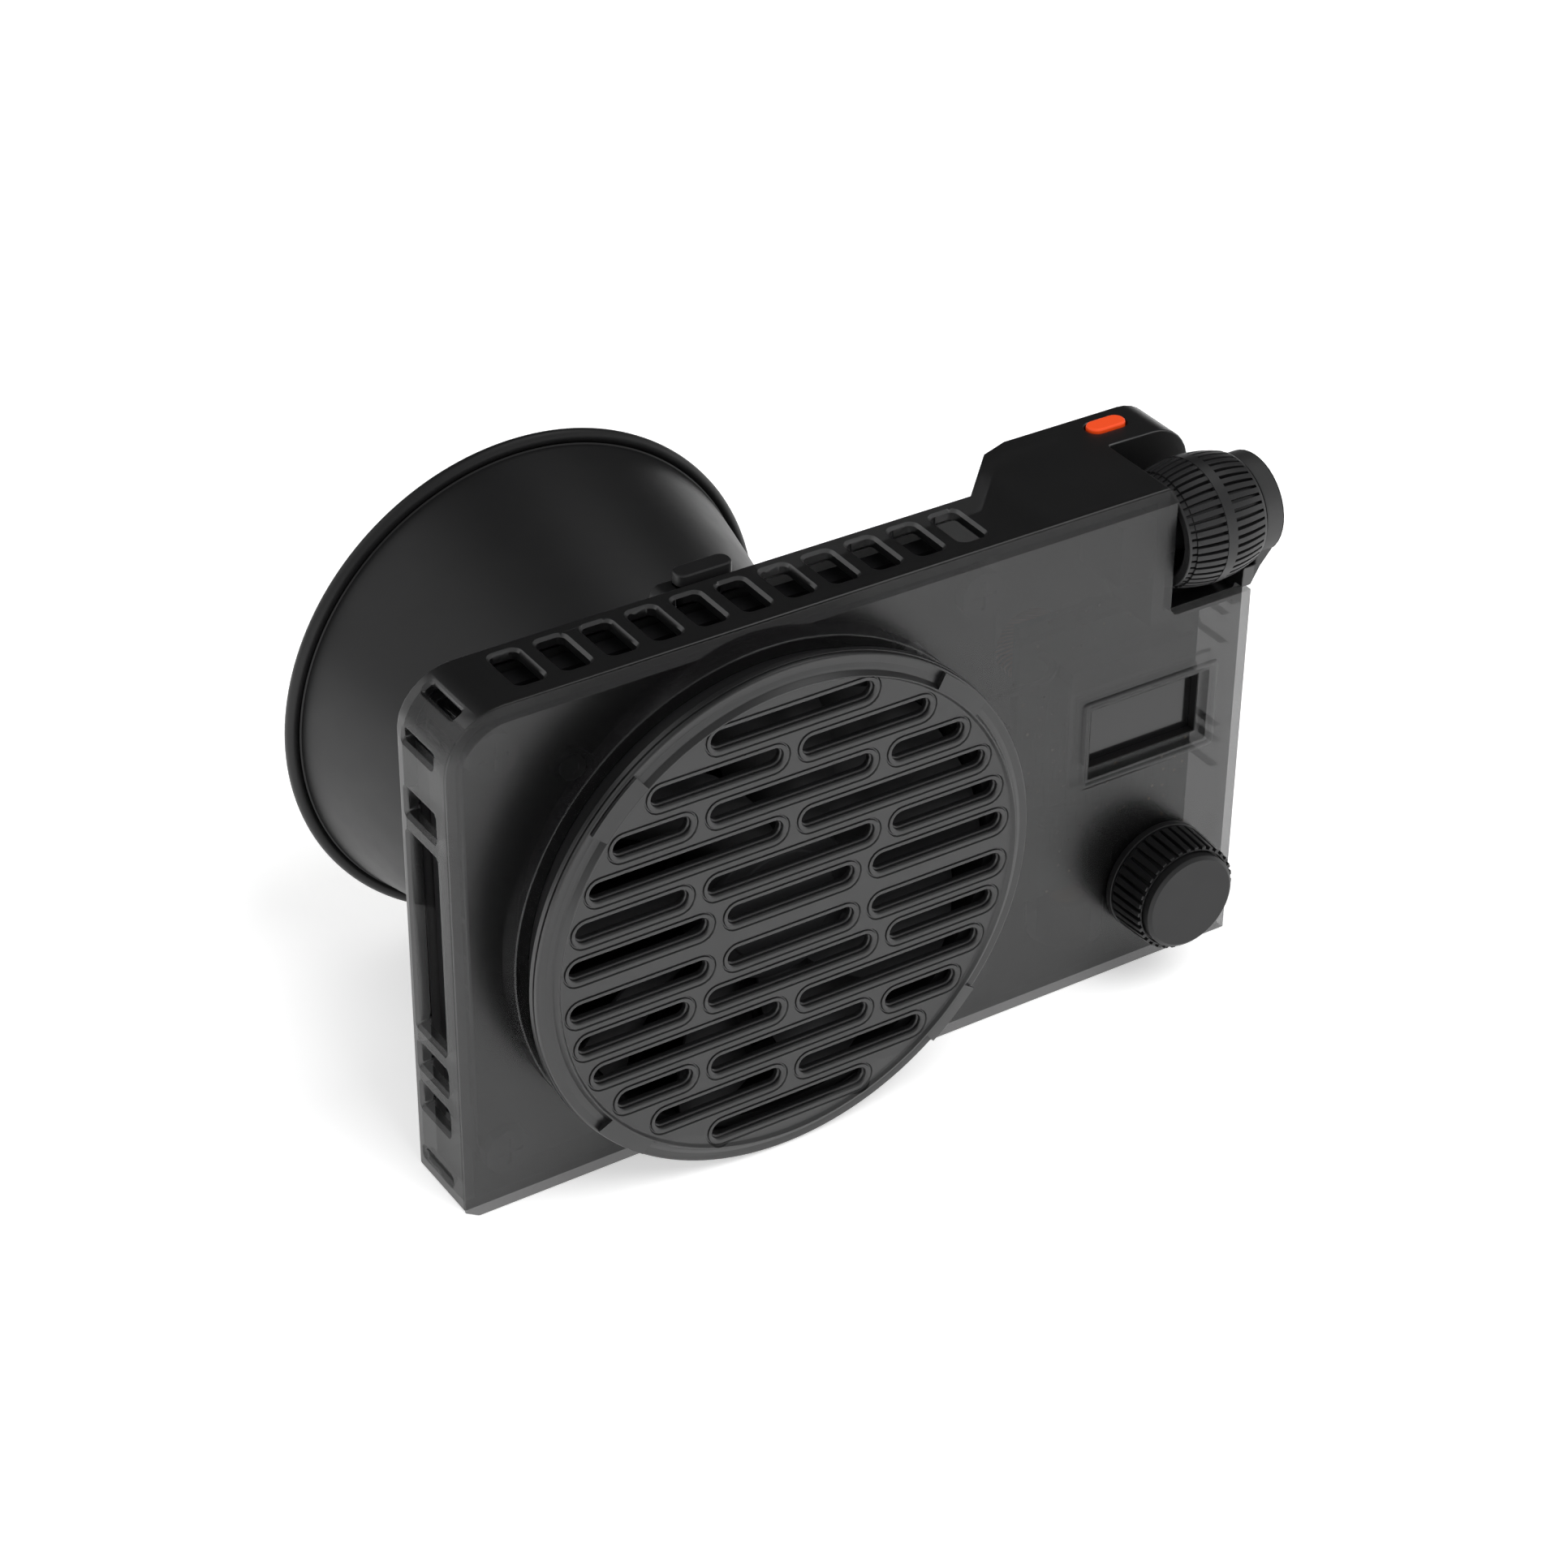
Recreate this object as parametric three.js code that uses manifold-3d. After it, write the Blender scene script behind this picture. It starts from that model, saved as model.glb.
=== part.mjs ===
// Compact LED continuous light: a flat case with a cooling turret behind and a reflector in front.
// Units are millimetres. X runs to the right as seen from behind, Y along the light beam, Z up.
// The origin lies under the optical axis, at half the depth of the flat case, on its bottom face.

import * as THREE from 'three';
import { mergeVertices } from 'three/addons/utils/BufferGeometryUtils.js';
import Module from 'manifold-3d';

const wasm = await Module();
wasm.setup();

// Case
const turretRadius = 45.6;
const leftMargin = 7;
const gripSpace = 51.8;
const floorClearance = 0.2;
const bodyDepth = 17.4;
const wallThickness = 2;
const coverThickness = 2;
const coverChamfer = 1.5;
const topLeftRadius = 10;
const topRightRadius = 7.5;
const frontEdgeRadius = 1;
const gripReach = 12;
const gripEdgeRadius = 3;
const gripWidth = 34;
const gripRampWidth = 11.5;
const gripRampFillet = 3.5;
const left = -turretRadius - leftMargin;
const right = turretRadius + gripSpace;
const axisZ = turretRadius + floorClearance;
const bodyHeight = 2 * axisZ;

// Clearances
const seatGap = 0.1;
const slipGap = 0.3;
const runningGap = 0.05;
const overrun = 3;

// Vents in the top and left walls
const ventCount = 11;
const ventPitch = 8;
const ventWidth = 6;
const ventFirstFromLeft = 17.3;
const ventRearInset = 5.3;
const ventFrontInset = 1.6;
const ventBevel = 0.6;
const topVentBevel = 0.5;
const topVentRadius = 1.2;
const ventCornerRadius = 0.8;
const sideVentGap = 2;
const sideVentLow = 12;
const sideVentShort = 6;
const sideVentTopSpan = 17.6;
const sideVentTopLow = bodyHeight - 10.4;
const sideVentTopHigh = bodyHeight - 6.9;
const sideVentFootLow = 2;
const sideVentFootHigh = 5;
const footVentDepth = 1.2;
const cornerVentWidth = 3;
const cornerVentAngle = 57;

// Turret and grille
const baseRingReach = 4;
const baseRingRadius = turretRadius - 0.3;
const retainerReach = 4.75;
const retainerRadius = turretRadius - 2.6;
const capSkirt = 2;
const capRise = 1.25;
const capDraft = 0.2;
const ridgeRadius = turretRadius - 2.9;
const ridgeWidth = 0.4;
const faceDrop = 0.6;
const faceThickness = 1.8;
const fanBore = turretRadius - 4.6;

// Grille slots
const slotRadius = 2.1;
const slotRowOffset = 4;
const slotEndCircle = fanBore - 2.6;
const slotEndInset = 1.4;
const slotGap = 1.4;
const slotRim = 0.6;
const slotMiddleShares = [0.331, 0.4245, 0, 0.41, 0, 0.4075];
const slotRowPitch = (slotEndCircle - slotEndInset - slotRowOffset) / (slotMiddleShares.length - 1);

// Display
const displayLeft = right - 32.5;
const displayWidth = 25.4;
const displayLow = bodyHeight - 50.2;
const displayHeight = 14.6;
const displayBevel = 0.8;
const displayStep = 0.7;
const displayStepDepth = 1.4;
const displaySink = 3;
const displayFrameWidth = 1.6;
const windowThickness = 1;
const windowLap = 0.9;
const panelThickness = 0.6;
const panelBoardThickness = 1;
const panelBoardLip = 1;
const panelTail = 4;
const headerWidth = 23;
const headerHeight = 2.4;

// Control knob and its encoder
const knobX = right - 16.9;
const knobZ = 18;
const knobTravel = 0.5;
const collarRadius = 10.3;
const collarWidth = 1.4;
const ribRootRadius = 9.75;
const ribRearRadius = 10.2;
const ribFrontRadius = 9.6;
const ribCount = 36;
const ribFillShare = 0.5;
const knobReach = 9.4;
const knobCapRadius = 8.8;
const knobCapRise = 1.6;
const knobCapChamfer = 0.6;
const knobGroove = 0.35;
const knobGrooveDepth = 0.9;
const knobShaftRadius = 3;
const knobShaftInset = 1.2;
const encoderSize = 12;
const encoderDepth = 6.5;
const encoderBushWall = 0.4;
const plungerRadius = 3.7;
const plungerThickness = 1;
const plungerNubRadius = 1.2;
const plungerNubLength = 1.6;

// Thumbwheel
const wheelY = -2.2;
const wheelZ = bodyHeight - 10.4;
const wheelLeft = right - 15.95;
const wheelLength = 16.15;
const wheelRadius = 10.9;
const wheelEndRadius = 9.4;
const wheelFloorRadius = 9.3;
const wheelGrooves = 45;
const wheelRibShare = 0.6;
const wheelHollowRadius = 7.4;
const wheelHollowDepth = 5;
const wheelHubRadius = 4;
const axleRadius = 2;
const axleInset = 1.6;
const bushWall = 1.2;
const wheelEncoderLength = 6.6;
const wheelEncoderSize = 11;
const wheelEncoderDepth = 4.2;

// Well of the thumbwheel and the ear that carries its outer end
const wellLeft = right - 16.7;
const wellRadius = 12.5;
const wellWall = 2.5;
const notchFillet = 1.5;
const earRadius = 8.7;
const earReach = 3.9;
const earInnerGap = 0.3;
const earSkirtDepth = 15;
const earFlareLow = wheelZ - 11.4;
const earFlareHigh = wheelZ - 5.9;
const earRelief = 0.8;
const earRoot = 3;
const earSkirtAngle = 20;
const earFlareShare = 0.4;

// Power button
const buttonX = right - 12.9;
const buttonY = bodyDepth / 2 + gripReach - 4.3;
const buttonLength = 7.6;
const buttonWidth = 3.7;
const buttonProud = 0.8;
const buttonTravel = 0.6;
const buttonEdge = 0.4;
const buttonFlange = 0.35;
const buttonFlangeThickness = 1;
const buttonStemRadius = 1.2;
const buttonStemLength = 2.4;
const switchWidth = 4.6;
const switchHeight = 2.6;
const switchBoardGap = 0.95;
const switchBoardLength = 12;

// Fan
const fanBoreGap = 0.4;
const fanWall = 1.8;
const fanBladeGap = 0.6;
const fanHubRadius = 13.5;
const fanHubWall = 1.2;
const fanPlateRadius = 14.5;
const fanPlateThickness = 1.5;
const fanStrutWidth = 3;
const fanStrutCount = 4;
const fanEarRadius = fanBore + 2.4;
const fanEarRound = 3;
const fanEarThickness = 1.2;
const bladeCount = 9;
const bladeInset = 0.4;
const bladeRootInset = 0.55;
const bladeChord = 12.6;
const bladeFlare = 7.5;
const bladeLead = 16;
const bladeLeadCurve = 1.4;
const bladeBow = 1.1;
const bladeEdge = 0.28;
const bladeBelly = 0.5;
const magnetWall = 1.1;
const statorGap = 0.5;
const statorLength = 6;
const statorPoles = 6;
const poleSlotWidth = 1.6;
const poleRoot = 1.4;
const sleeveRadius = 4.2;
const bearingRadius = 3.1;
const fanShaftRadius = 1;
const fanFaceGap = 1;

// Tray that carries the fan, its posts and screws
const trayThickness = 1.2;
const trayEdge = 2.1;
const trayOpening = fanBore - 4;
const plateCorner = 7;
const postOffsetX = turretRadius - 1.4;
const postOffsetZ = turretRadius - 8.4;
const postRadius = 4.2;
const caseScrewRadius = 1.5;
const caseScrewHead = 4.2;
const caseScrewHeadHeight = 2.2;
const caseScrewLength = 8;
const screwCount = 4;
const screwStart = 45;
const fanScrewRadius = 1.1;
const fanScrewHead = 2.2;
const fanScrewHeadHeight = 0.8;
const crossWidth = 0.8;
const crossDepth = 0.6;
const crossReachShare = 0.6;
const hexagonShare = 0.5;
const hexagonSides = 6;

// Heat sink
const sinkBaseThickness = 3.7;
const sinkEdge = 1.6;
const finCount = 48;
const finThickness = 0.9;
const finInnerRadius = 13;
const finOuterRadius = turretRadius + 2.9;
const finTopInset = 2.3;
const pedestalHeight = 2.6;
const pedestalRadius = 21;

// Light engine
const boardWide = 24;
const boardTall = 28;
const boardThick = 1.6;
const emitterRadius = 9.5;
const emitterHeight = 0.7;
const holderHeight = 3.9;
const holderPocket = 28.6;
const holderOpening = 10.5;
const holderFlare = 3;
const glassThickness = 1.2;
const glassInset = 0.5;
const lampHoleGap = 1;

// Mount ring, its screws and its latch
const mountDepth = 7.8;
const mountShare = 5 / 6;
const mountRadius = turretRadius * mountShare;
const mountBore = mountRadius - 7.8;
const mountChamfer = 0.5;
const grooveRadius = mountRadius - 5.2;
const grooveBack = 1.9;
const grooveWidth = 2.8;
const lugCount = 3;
const lugAngle = 24;
const lugGapAngle = 2;
const twistAngle = 30;
const lugProud = 2.4;
const lugThickness = 2.2;
const mountScrewCircle = mountRadius - 2.6;
const mountScrewRadius = 1.2;
const mountScrewHead = 2;
const mountScrewHeadHeight = 1.8;
const mountScrewBite = 2.4;
const latchBossHalf = 5.6;
const latchBossTop = turretRadius - 1;
const latchBossDepth = 4.4;
const latchBossRound = 2;
const latchTabLength = 10.1;
const latchTabShift = 2.85;
const latchTabDepth = 3.6;
const latchTabHeight = 2.2;
const latchTabRound = 2;
const latchTabBack = 0.5;
const latchSlotDepth = 1.9;
const latchSlotRear = 1.3;
const latchSlotRight = 4.2;
const latchTravel = 3;
const latchStemWidth = 2.4;
const latchStemDrop = 8;
const latchSpringSolid = 0.6;
const latchSpringRadius = 0.7;
const latchSpringWire = 0.2;
const latchSpringTurns = 3;

// Reflector
const collarOuter = mountBore - 0.4;
const coneGap = 0.4;
const reflectorWall = 1.3;
const coneStart = collarOuter + 1.7;
const coneEnd = turretRadius - 2.3;
const coneBulge = 0.8;
const coneLength = 45.6;
const beadRadius = 1.3;
const beadRise = 1.5;
const beadStart = -60;
const beadSweep = 240;
const collarSink = 7.1;

// Boards and parts inside the grip
const circuitThickness = 1.6;
const controlBoardLeft = right - 39.4;
const controlBoardLow = 12.5;
const controlBoardHigh = bodyHeight - 26.6;
const driverBoardLeft = right - 35.4;
const driverBoardLow = 13;
const driverBoardHigh = controlBoardHigh - 1;
const driverGap = 0.6;
const inductorRadius = 6.5;
const inductorHeadroom = 2.3;
const inductorX = driverBoardLeft + 8.5;
const inductorZ = driverBoardHigh - 10;
const capacitorRadius = 4;
const capacitorHeadroom = 1.2;
const capacitorX = right - 13.4;
const capacitorPitch = 10;
const capacitorLowZ = inductorZ - capacitorPitch;
const transformerX = driverBoardLeft + 4;
const transformerZ = driverBoardLow + 9;
const transformerGap = 9.5;
const transformerWidth = 14;
const transformerHeight = inductorZ - inductorRadius - transformerGap - transformerZ;
const transformerHeadroom = 2;
const socketLength = 9;
const socketThickness = 3.2;
const socketDepth = 8;
const socketZ = 30;
const socketShell = 0.4;
const socketCavity = 6;
const ribOffsets = [-11.8, -6.8, -3.8, 12.8, 18.3];
const ribReach = 2;
const ribThickness = 1;

// Tripod socket
const tripodX = right - 25.4;
const tripodY = 12.7 - bodyDepth / 2;
const tripodRadius = 4.6;
const tripodBore = 3.2;
const tripodDepth = 9.4;
const tripodWall = 2.2;

// Snap tabs of the cover
const snapXs = [left + 18.6, 6, turretRadius + 0.4, right - 27.4];
const snapLength = 7;
const snapThickness = 1.1;
const snapReach = 2.9;

// Leads inside the case
const fanLeadRadius = 0.7;
const ledLeadRadius = 0.8;
const leadChannel = 2.4;
const ledLeadX = 13.3;
const fanLeadZ = axisZ + 16.2;
const leadSides = 6;
const leadSteps = 14;

// Steps of the round shapes
const wholeSteps = 40;
const middleSteps = 28;
const smallSteps = 20;
const screwSteps = 10;
const cornerSteps = 4;
const caseSteps = 8;
const ventSteps = 1;
const slotSteps = 3;
const postSteps = 12;
const ringSteps = 32;
const coneSteps = 3;
const beadSteps = 4;
const bladeStations = 3;
const bladePoints = 4;
const barrelSteps = 2;
const springSides = 4;
const springSteps = 6;

// Planes worked out from the driving sizes
const rear = -bodyDepth / 2;
const front = bodyDepth / 2;
const innerRight = right - wallThickness;
const innerTop = bodyHeight - wallThickness;
const innerFront = front - wallThickness;
const coverFront = rear + coverThickness;
const caseRear = coverFront + seatGap;
const gripFront = front + gripReach;
const baseRingRear = rear - baseRingReach;
const capFront = baseRingRear - retainerReach;
const capEdge = capFront - capSkirt;
const ridgeRear = capEdge - capRise;
const faceRear = ridgeRear + faceDrop;
const faceFront = faceRear + faceThickness;
const trayRear = coverFront + seatGap + caseScrewHeadHeight;
const trayFront = trayRear + trayThickness;
const fanFront = trayRear - seatGap;
const fanRear = faceFront + fanFaceGap;
const postRear = trayFront + seatGap;
const sinkFront = innerFront - slipGap;
const sinkBack = sinkFront - sinkBaseThickness;
const pedestalFront = sinkFront + pedestalHeight;
const boardFront = pedestalFront + seatGap + boardThick;
const holderFront = pedestalFront + seatGap + holderHeight;
const mountRear = front + seatGap;
const mountFront = mountRear + mountDepth;
const coneRear = mountFront + coneGap;
const knobStandOff = knobTravel + slipGap;
const latchSpringLength = latchTravel + latchSpringSolid;
const windowRear = rear + displaySink;
const encoderFront = coverFront + (displaySink - coverThickness) + encoderDepth + slipGap * 2;
const encoderRear = encoderFront - encoderDepth;
const controlRear = encoderFront + seatGap;
const controlFront = controlRear + circuitThickness;
const driverRear = innerFront + driverGap;
const driverFront = driverRear + circuitThickness;
const boardSpacing = driverRear - controlFront;
const headroom = gripFront - wallThickness - driverFront;
const degree = Math.PI / 180;

// Materials
const smoke = { color: 0x4c4c4e, roughness: 0.32, metalness: 0 };
const black = { color: 0x141414, roughness: 0.5, metalness: 0 };
const satin = { color: 0x0e0e0f, roughness: 0.38, metalness: 0.1 };
const rubber = { color: 0x1a1a1b, roughness: 0.75, metalness: 0 };
const steel = { color: 0x9a9c9f, roughness: 0.3, metalness: 1 };
const darkSteel = { color: 0x2a2b2d, roughness: 0.35, metalness: 0.9 };
const anodised = { color: 0x1d1d1f, roughness: 0.5, metalness: 0.6 };
const brass = { color: 0xb08d4a, roughness: 0.35, metalness: 1 };
const copper = { color: 0xb06a3c, roughness: 0.4, metalness: 1 };
const circuit = { color: 0x10281a, roughness: 0.5, metalness: 0 };
const white = { color: 0xd8d8d4, roughness: 0.6, metalness: 0 };
const phosphor = { color: 0xe6c84a, roughness: 0.6, metalness: 0 };
const glass = { color: 0x26282a, roughness: 0.05, metalness: 0 };
const orange = { color: 0xff5519, roughness: 0.45, metalness: 0 };

// Turns a closed geometry into a solid, with its faces pointing out.
function solid(geometry) {
  const bare = geometry.clone();
  bare.deleteAttribute('normal');
  bare.deleteAttribute('uv');
  const merged = mergeVertices(bare);
  const places = merged.attributes.position.array;
  const corners = merged.index.array;
  const triangles = [];
  let volume = 0;
  for (let i = 0; i < corners.length; i += 3) {
    const [a, b, c] = [corners[i], corners[i + 1], corners[i + 2]];
    if (a === b || b === c || c === a) continue;
    triangles.push(a, b, c);
    const p = new THREE.Vector3().fromArray(places, a * 3);
    const q = new THREE.Vector3().fromArray(places, b * 3);
    const r = new THREE.Vector3().fromArray(places, c * 3);
    volume += p.dot(q.cross(r));
  }
  if (volume < 0) triangles.reverse();
  const vertProperties = Float32Array.from(places);
  const triVerts = Uint32Array.from(triangles);
  return new wasm.Manifold(new wasm.Mesh({ numProp: 3, vertProperties, triVerts }));
}

const joined = (list) => list.reduce((whole, piece) => whole.add(piece));
const cut = (whole, list) => list.reduce((rest, piece) => rest.subtract(piece), whole);

// Gives a solid back as a named mesh.
function piece(name, shape, look, at = [0, 0, 0]) {
  const made = shape.getMesh();
  const geometry = new THREE.BufferGeometry();
  geometry.setAttribute('position', new THREE.BufferAttribute(made.vertProperties, 3));
  geometry.setIndex(new THREE.BufferAttribute(made.triVerts, 1));
  geometry.computeVertexNormals();
  const mesh = new THREE.Mesh(geometry, new THREE.MeshStandardMaterial(look));
  mesh.name = name;
  mesh.position.fromArray(at);
  return mesh;
}

// Outlines
function polygon(points) {
  return new THREE.Shape(points.map(([u, v]) => new THREE.Vector2(u, v)));
}

function rectangle(u0, v0, u1, v1) {
  return polygon([[u0, v0], [u1, v0], [u1, v1], [u0, v1]]);
}

// A rectangle with the radii of its low-right, high-right, high-left and low-left corners.
function rounded(u0, v0, u1, v1, radii, steps = cornerSteps) {
  const [lowRight, highRight, highLeft, lowLeft] = radii;
  const corners = [
    [u1 - lowRight, v0 + lowRight, lowRight, -90],
    [u1 - highRight, v1 - highRight, highRight, 0],
    [u0 + highLeft, v1 - highLeft, highLeft, 90],
    [u0 + lowLeft, v0 + lowLeft, lowLeft, 180],
  ];
  return polygon(corners.flatMap(([u, v, radius, start]) => {
    if (radius <= 0) return [[u, v]];
    return Array.from({ length: steps + 1 }, (_, i) => {
      const angle = (start + 90 * i / steps) * degree;
      return [u + radius * Math.cos(angle), v + radius * Math.sin(angle)];
    });
  }));
}

function stadium(u, v, half, radius) {
  const shape = new THREE.Shape();
  shape.absarc(u + half, v, radius, -Math.PI / 2, Math.PI / 2);
  shape.absarc(u - half, v, radius, Math.PI / 2, 3 * Math.PI / 2);
  shape.closePath();
  return shape;
}

// An extruded outline along each axis; along Y it is drawn in X and Z, along X in Y and Z.
function extruded(shape, depth, steps) {
  return new THREE.ExtrudeGeometry(shape, { depth, bevelEnabled: false, curveSegments: steps });
}

function alongZ(shape, low, high, steps = cornerSteps) {
  return extruded(shape, high - low, steps).translate(0, 0, low);
}

function alongY(shape, low, high, steps = cornerSteps) {
  return extruded(shape, high - low, steps).rotateX(Math.PI / 2).translate(0, high, 0);
}

function alongX(shape, low, high, steps = cornerSteps) {
  const turn = new THREE.Matrix4().makeBasis(
    new THREE.Vector3(0, 1, 0),
    new THREE.Vector3(0, 0, 1),
    new THREE.Vector3(1, 0, 0),
  );
  return extruded(shape, high - low, steps).applyMatrix4(turn).translate(low, 0, 0);
}

function box(x0, y0, z0, x1, y1, z1) {
  const block = new THREE.BoxGeometry(x1 - x0, y1 - y0, z1 - z0);
  return solid(block.translate((x0 + x1) / 2, (y0 + y1) / 2, (z0 + z1) / 2));
}

// A turned shape about Y from radius and height pairs; a profile off the axis closes on itself.
function turned(profile, steps = wholeSteps, start = 0) {
  const onAxis = profile[0][0] === 0 && profile.at(-1)[0] === 0;
  const points = onAxis ? profile : [...profile, profile[0]];
  return new THREE.LatheGeometry(points.map(([r, h]) => new THREE.Vector2(r, h)), steps, start);
}

function disc(radius, low, high, steps = smallSteps) {
  return turned([[0, low], [radius, low], [radius, high], [0, high]], steps);
}

function ring(inner, outer, low, high, steps = wholeSteps) {
  return turned([[inner, low], [outer, low], [outer, high], [inner, high]], steps);
}

const toZ = (geometry) => geometry.rotateX(Math.PI / 2);
const toX = (geometry) => geometry.rotateZ(-Math.PI / 2);

// Places round the optical axis or another axis along Y.
function around(count, radius, startDegrees) {
  return Array.from({ length: count }, (_, i) => {
    const angle = (startDegrees + i * 360 / count) * degree;
    return { angle, x: radius * Math.cos(angle), z: radius * Math.sin(angle) };
  });
}

// Outline of the case in X and Z, drawn in from its outer edge by an inset.
function caseOutline(inset) {
  const radii = [
    0,
    topRightRadius - inset,
    topLeftRadius - inset,
    0,
  ];
  return rounded(left + inset, inset, right - inset, bodyHeight - inset, radii, caseSteps);
}

// Plan of the case in X and Y from a rear plane to a front face that lies in by an inset.
function casePlan(inset, rearY) {
  const flat = front - inset;
  const grip = gripFront - inset;
  const gripLeft = right - gripWidth;
  const rampLeft = gripLeft - gripRampWidth;
  const edge = frontEdgeRadius;
  const shoulder = Math.max(gripEdgeRadius - inset, frontEdgeRadius);
  const slope = gripReach / gripRampWidth;
  const shift = inset * (Math.hypot(1, slope) - 1) / slope;
  const shape = new THREE.Shape();
  shape.moveTo(left + inset, rearY);
  shape.lineTo(right - inset, rearY);
  shape.absarc(right - inset - shoulder, grip - shoulder, shoulder, 0, Math.PI / 2);
  shape.lineTo(gripLeft + gripRampFillet + shift, grip);
  shape.lineTo(gripLeft - gripRampFillet / 2 + shift, grip - gripRampFillet / 2 * slope);
  shape.lineTo(rampLeft + shift, flat);
  shape.absarc(left + inset + edge, flat - edge, edge, Math.PI / 2, Math.PI);
  shape.closePath();
  return shape;
}

// Cutters of the vents through the top wall.
function topVents() {
  const low = rear + ventRearInset + topVentBevel;
  const high = front - ventFrontInset - topVentBevel;
  const half = ventWidth / 2 - topVentBevel;
  const radii = Array(4).fill(topVentRadius);
  return Array.from({ length: ventCount }, (_, i) => {
    const middle = left + ventFirstFromLeft + i * ventPitch;
    const shape = rounded(middle - half, low, middle + half, high, radii, ventSteps);
    return solid(alongZ(shape, innerTop - overrun, bodyHeight + overrun));
  });
}

// Cutters of the vents in the left wall, drawn flat and turned to face left.
function sideVents() {
  const low = rear + ventRearInset + ventBevel;
  const high = front - ventFrontInset - ventBevel;
  const through = wallThickness + overrun;
  const second = sideVentLow + sideVentShort + sideVentGap;
  const long = second + sideVentShort + sideVentGap;
  const fourth = bodyHeight - sideVentTopSpan - sideVentShort;
  const spans = [
    [sideVentLow, sideVentLow + sideVentShort, through],
    [second, second + sideVentShort, through],
    [long, fourth - sideVentGap, through],
    [fourth, fourth + sideVentShort, through],
    [sideVentTopLow, sideVentTopHigh, through],
    [sideVentFootLow, sideVentFootHigh, footVentDepth],
  ];
  return spans.map(([foot, head, depth]) => {
    const shape = rounded(
      foot + ventBevel, low, head - ventBevel, high, Array(4).fill(ventCornerRadius), ventSteps,
    );
    const cutter = alongZ(shape, -depth, overrun);
    return solid(cutter.rotateY(-Math.PI / 2).translate(left, 0, 0));
  });
}

// Cutter of the slot across the rounded top left corner.
function cornerVent() {
  const low = rear + ventRearInset + ventBevel;
  const high = front - ventFrontInset - ventBevel;
  const half = cornerVentWidth / 2 - ventBevel;
  const shape = rounded(-half, low, half, high, Array(4).fill(ventCornerRadius), ventSteps);
  const cutter = alongZ(shape, -wallThickness - overrun, overrun);
  const angle = cornerVentAngle * degree;
  const centreX = left + topLeftRadius;
  const centreZ = bodyHeight - topLeftRadius;
  const at = [
    centreX - topLeftRadius * Math.cos(angle), 0, centreZ + topLeftRadius * Math.sin(angle),
  ];
  return solid(cutter.rotateY(angle - Math.PI / 2).translate(...at));
}

// Space that the thumbwheel's well takes from the case, from a given plane to the right.
function wellSpace(radius, fromX, toX1) {
  const drum = solid(toX(disc(radius, fromX, toX1, middleSteps)).translate(0, wheelY, wheelZ));
  const rearBox = box(
    fromX, rear - overrun, wheelZ - radius, toX1, wheelY, bodyHeight + overrun,
  );
  const topBox = box(
    fromX, rear - overrun, wheelZ, toX1, wheelY + radius, bodyHeight + overrun,
  );
  return joined([drum, rearBox, topBox]);
}

// The ear outside the right wall, with the skirt that runs down into the wall.
function ear() {
  const disk = solid(toX(disc(earRadius, innerRight, right + earReach, wholeSteps))
    .translate(0, wheelY, wheelZ));
  const skirtFront = rear + earSkirtDepth;
  const shoulderY = earRadius * Math.cos(earSkirtAngle * degree);
  const shoulderZ = earRadius * Math.sin(earSkirtAngle * degree);
  const skirt = polygon([
    [rear, earFlareLow - slipGap],
    [caseRear, earFlareLow - slipGap],
    [caseRear, earFlareLow - earRoot],
    [skirtFront, earFlareLow - earRoot],
    [skirtFront, earFlareLow],
    [wheelY + shoulderY, wheelZ + shoulderZ],
    [wheelY - shoulderY, wheelZ + shoulderZ],
    [rear, wheelZ - earRadius / 2],
  ]);
  const blank = disk.add(solid(alongX(skirt, innerRight, right + earReach)));
  const flare = polygon([
    [innerRight, earFlareLow - earRoot],
    [right, earFlareLow - earRoot],
    [right, earFlareLow],
    [right + earReach * earFlareShare, (earFlareLow + earFlareHigh) / 2],
    [right + earReach, earFlareHigh],
    [right + earReach, wheelZ + earRadius],
    [innerRight, wheelZ + earRadius],
  ]);
  const shaped = blank.intersect(
    solid(alongY(flare, wheelY - earRadius - overrun, skirtFront + overrun)),
  );
  const wheelRight = wheelLeft + wheelLength;
  const relief = solid(
    toX(disc(wheelEndRadius + earRelief, wellLeft, wheelRight + earInnerGap, middleSteps))
      .translate(0, wheelY, wheelZ),
  );
  const bore = solid(
    toX(disc(axleRadius + runningGap, wellLeft, wheelRight + earInnerGap + axleInset + runningGap))
      .translate(0, wheelY, wheelZ),
  );
  return cut(shaped, [relief, bore]);
}

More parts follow.
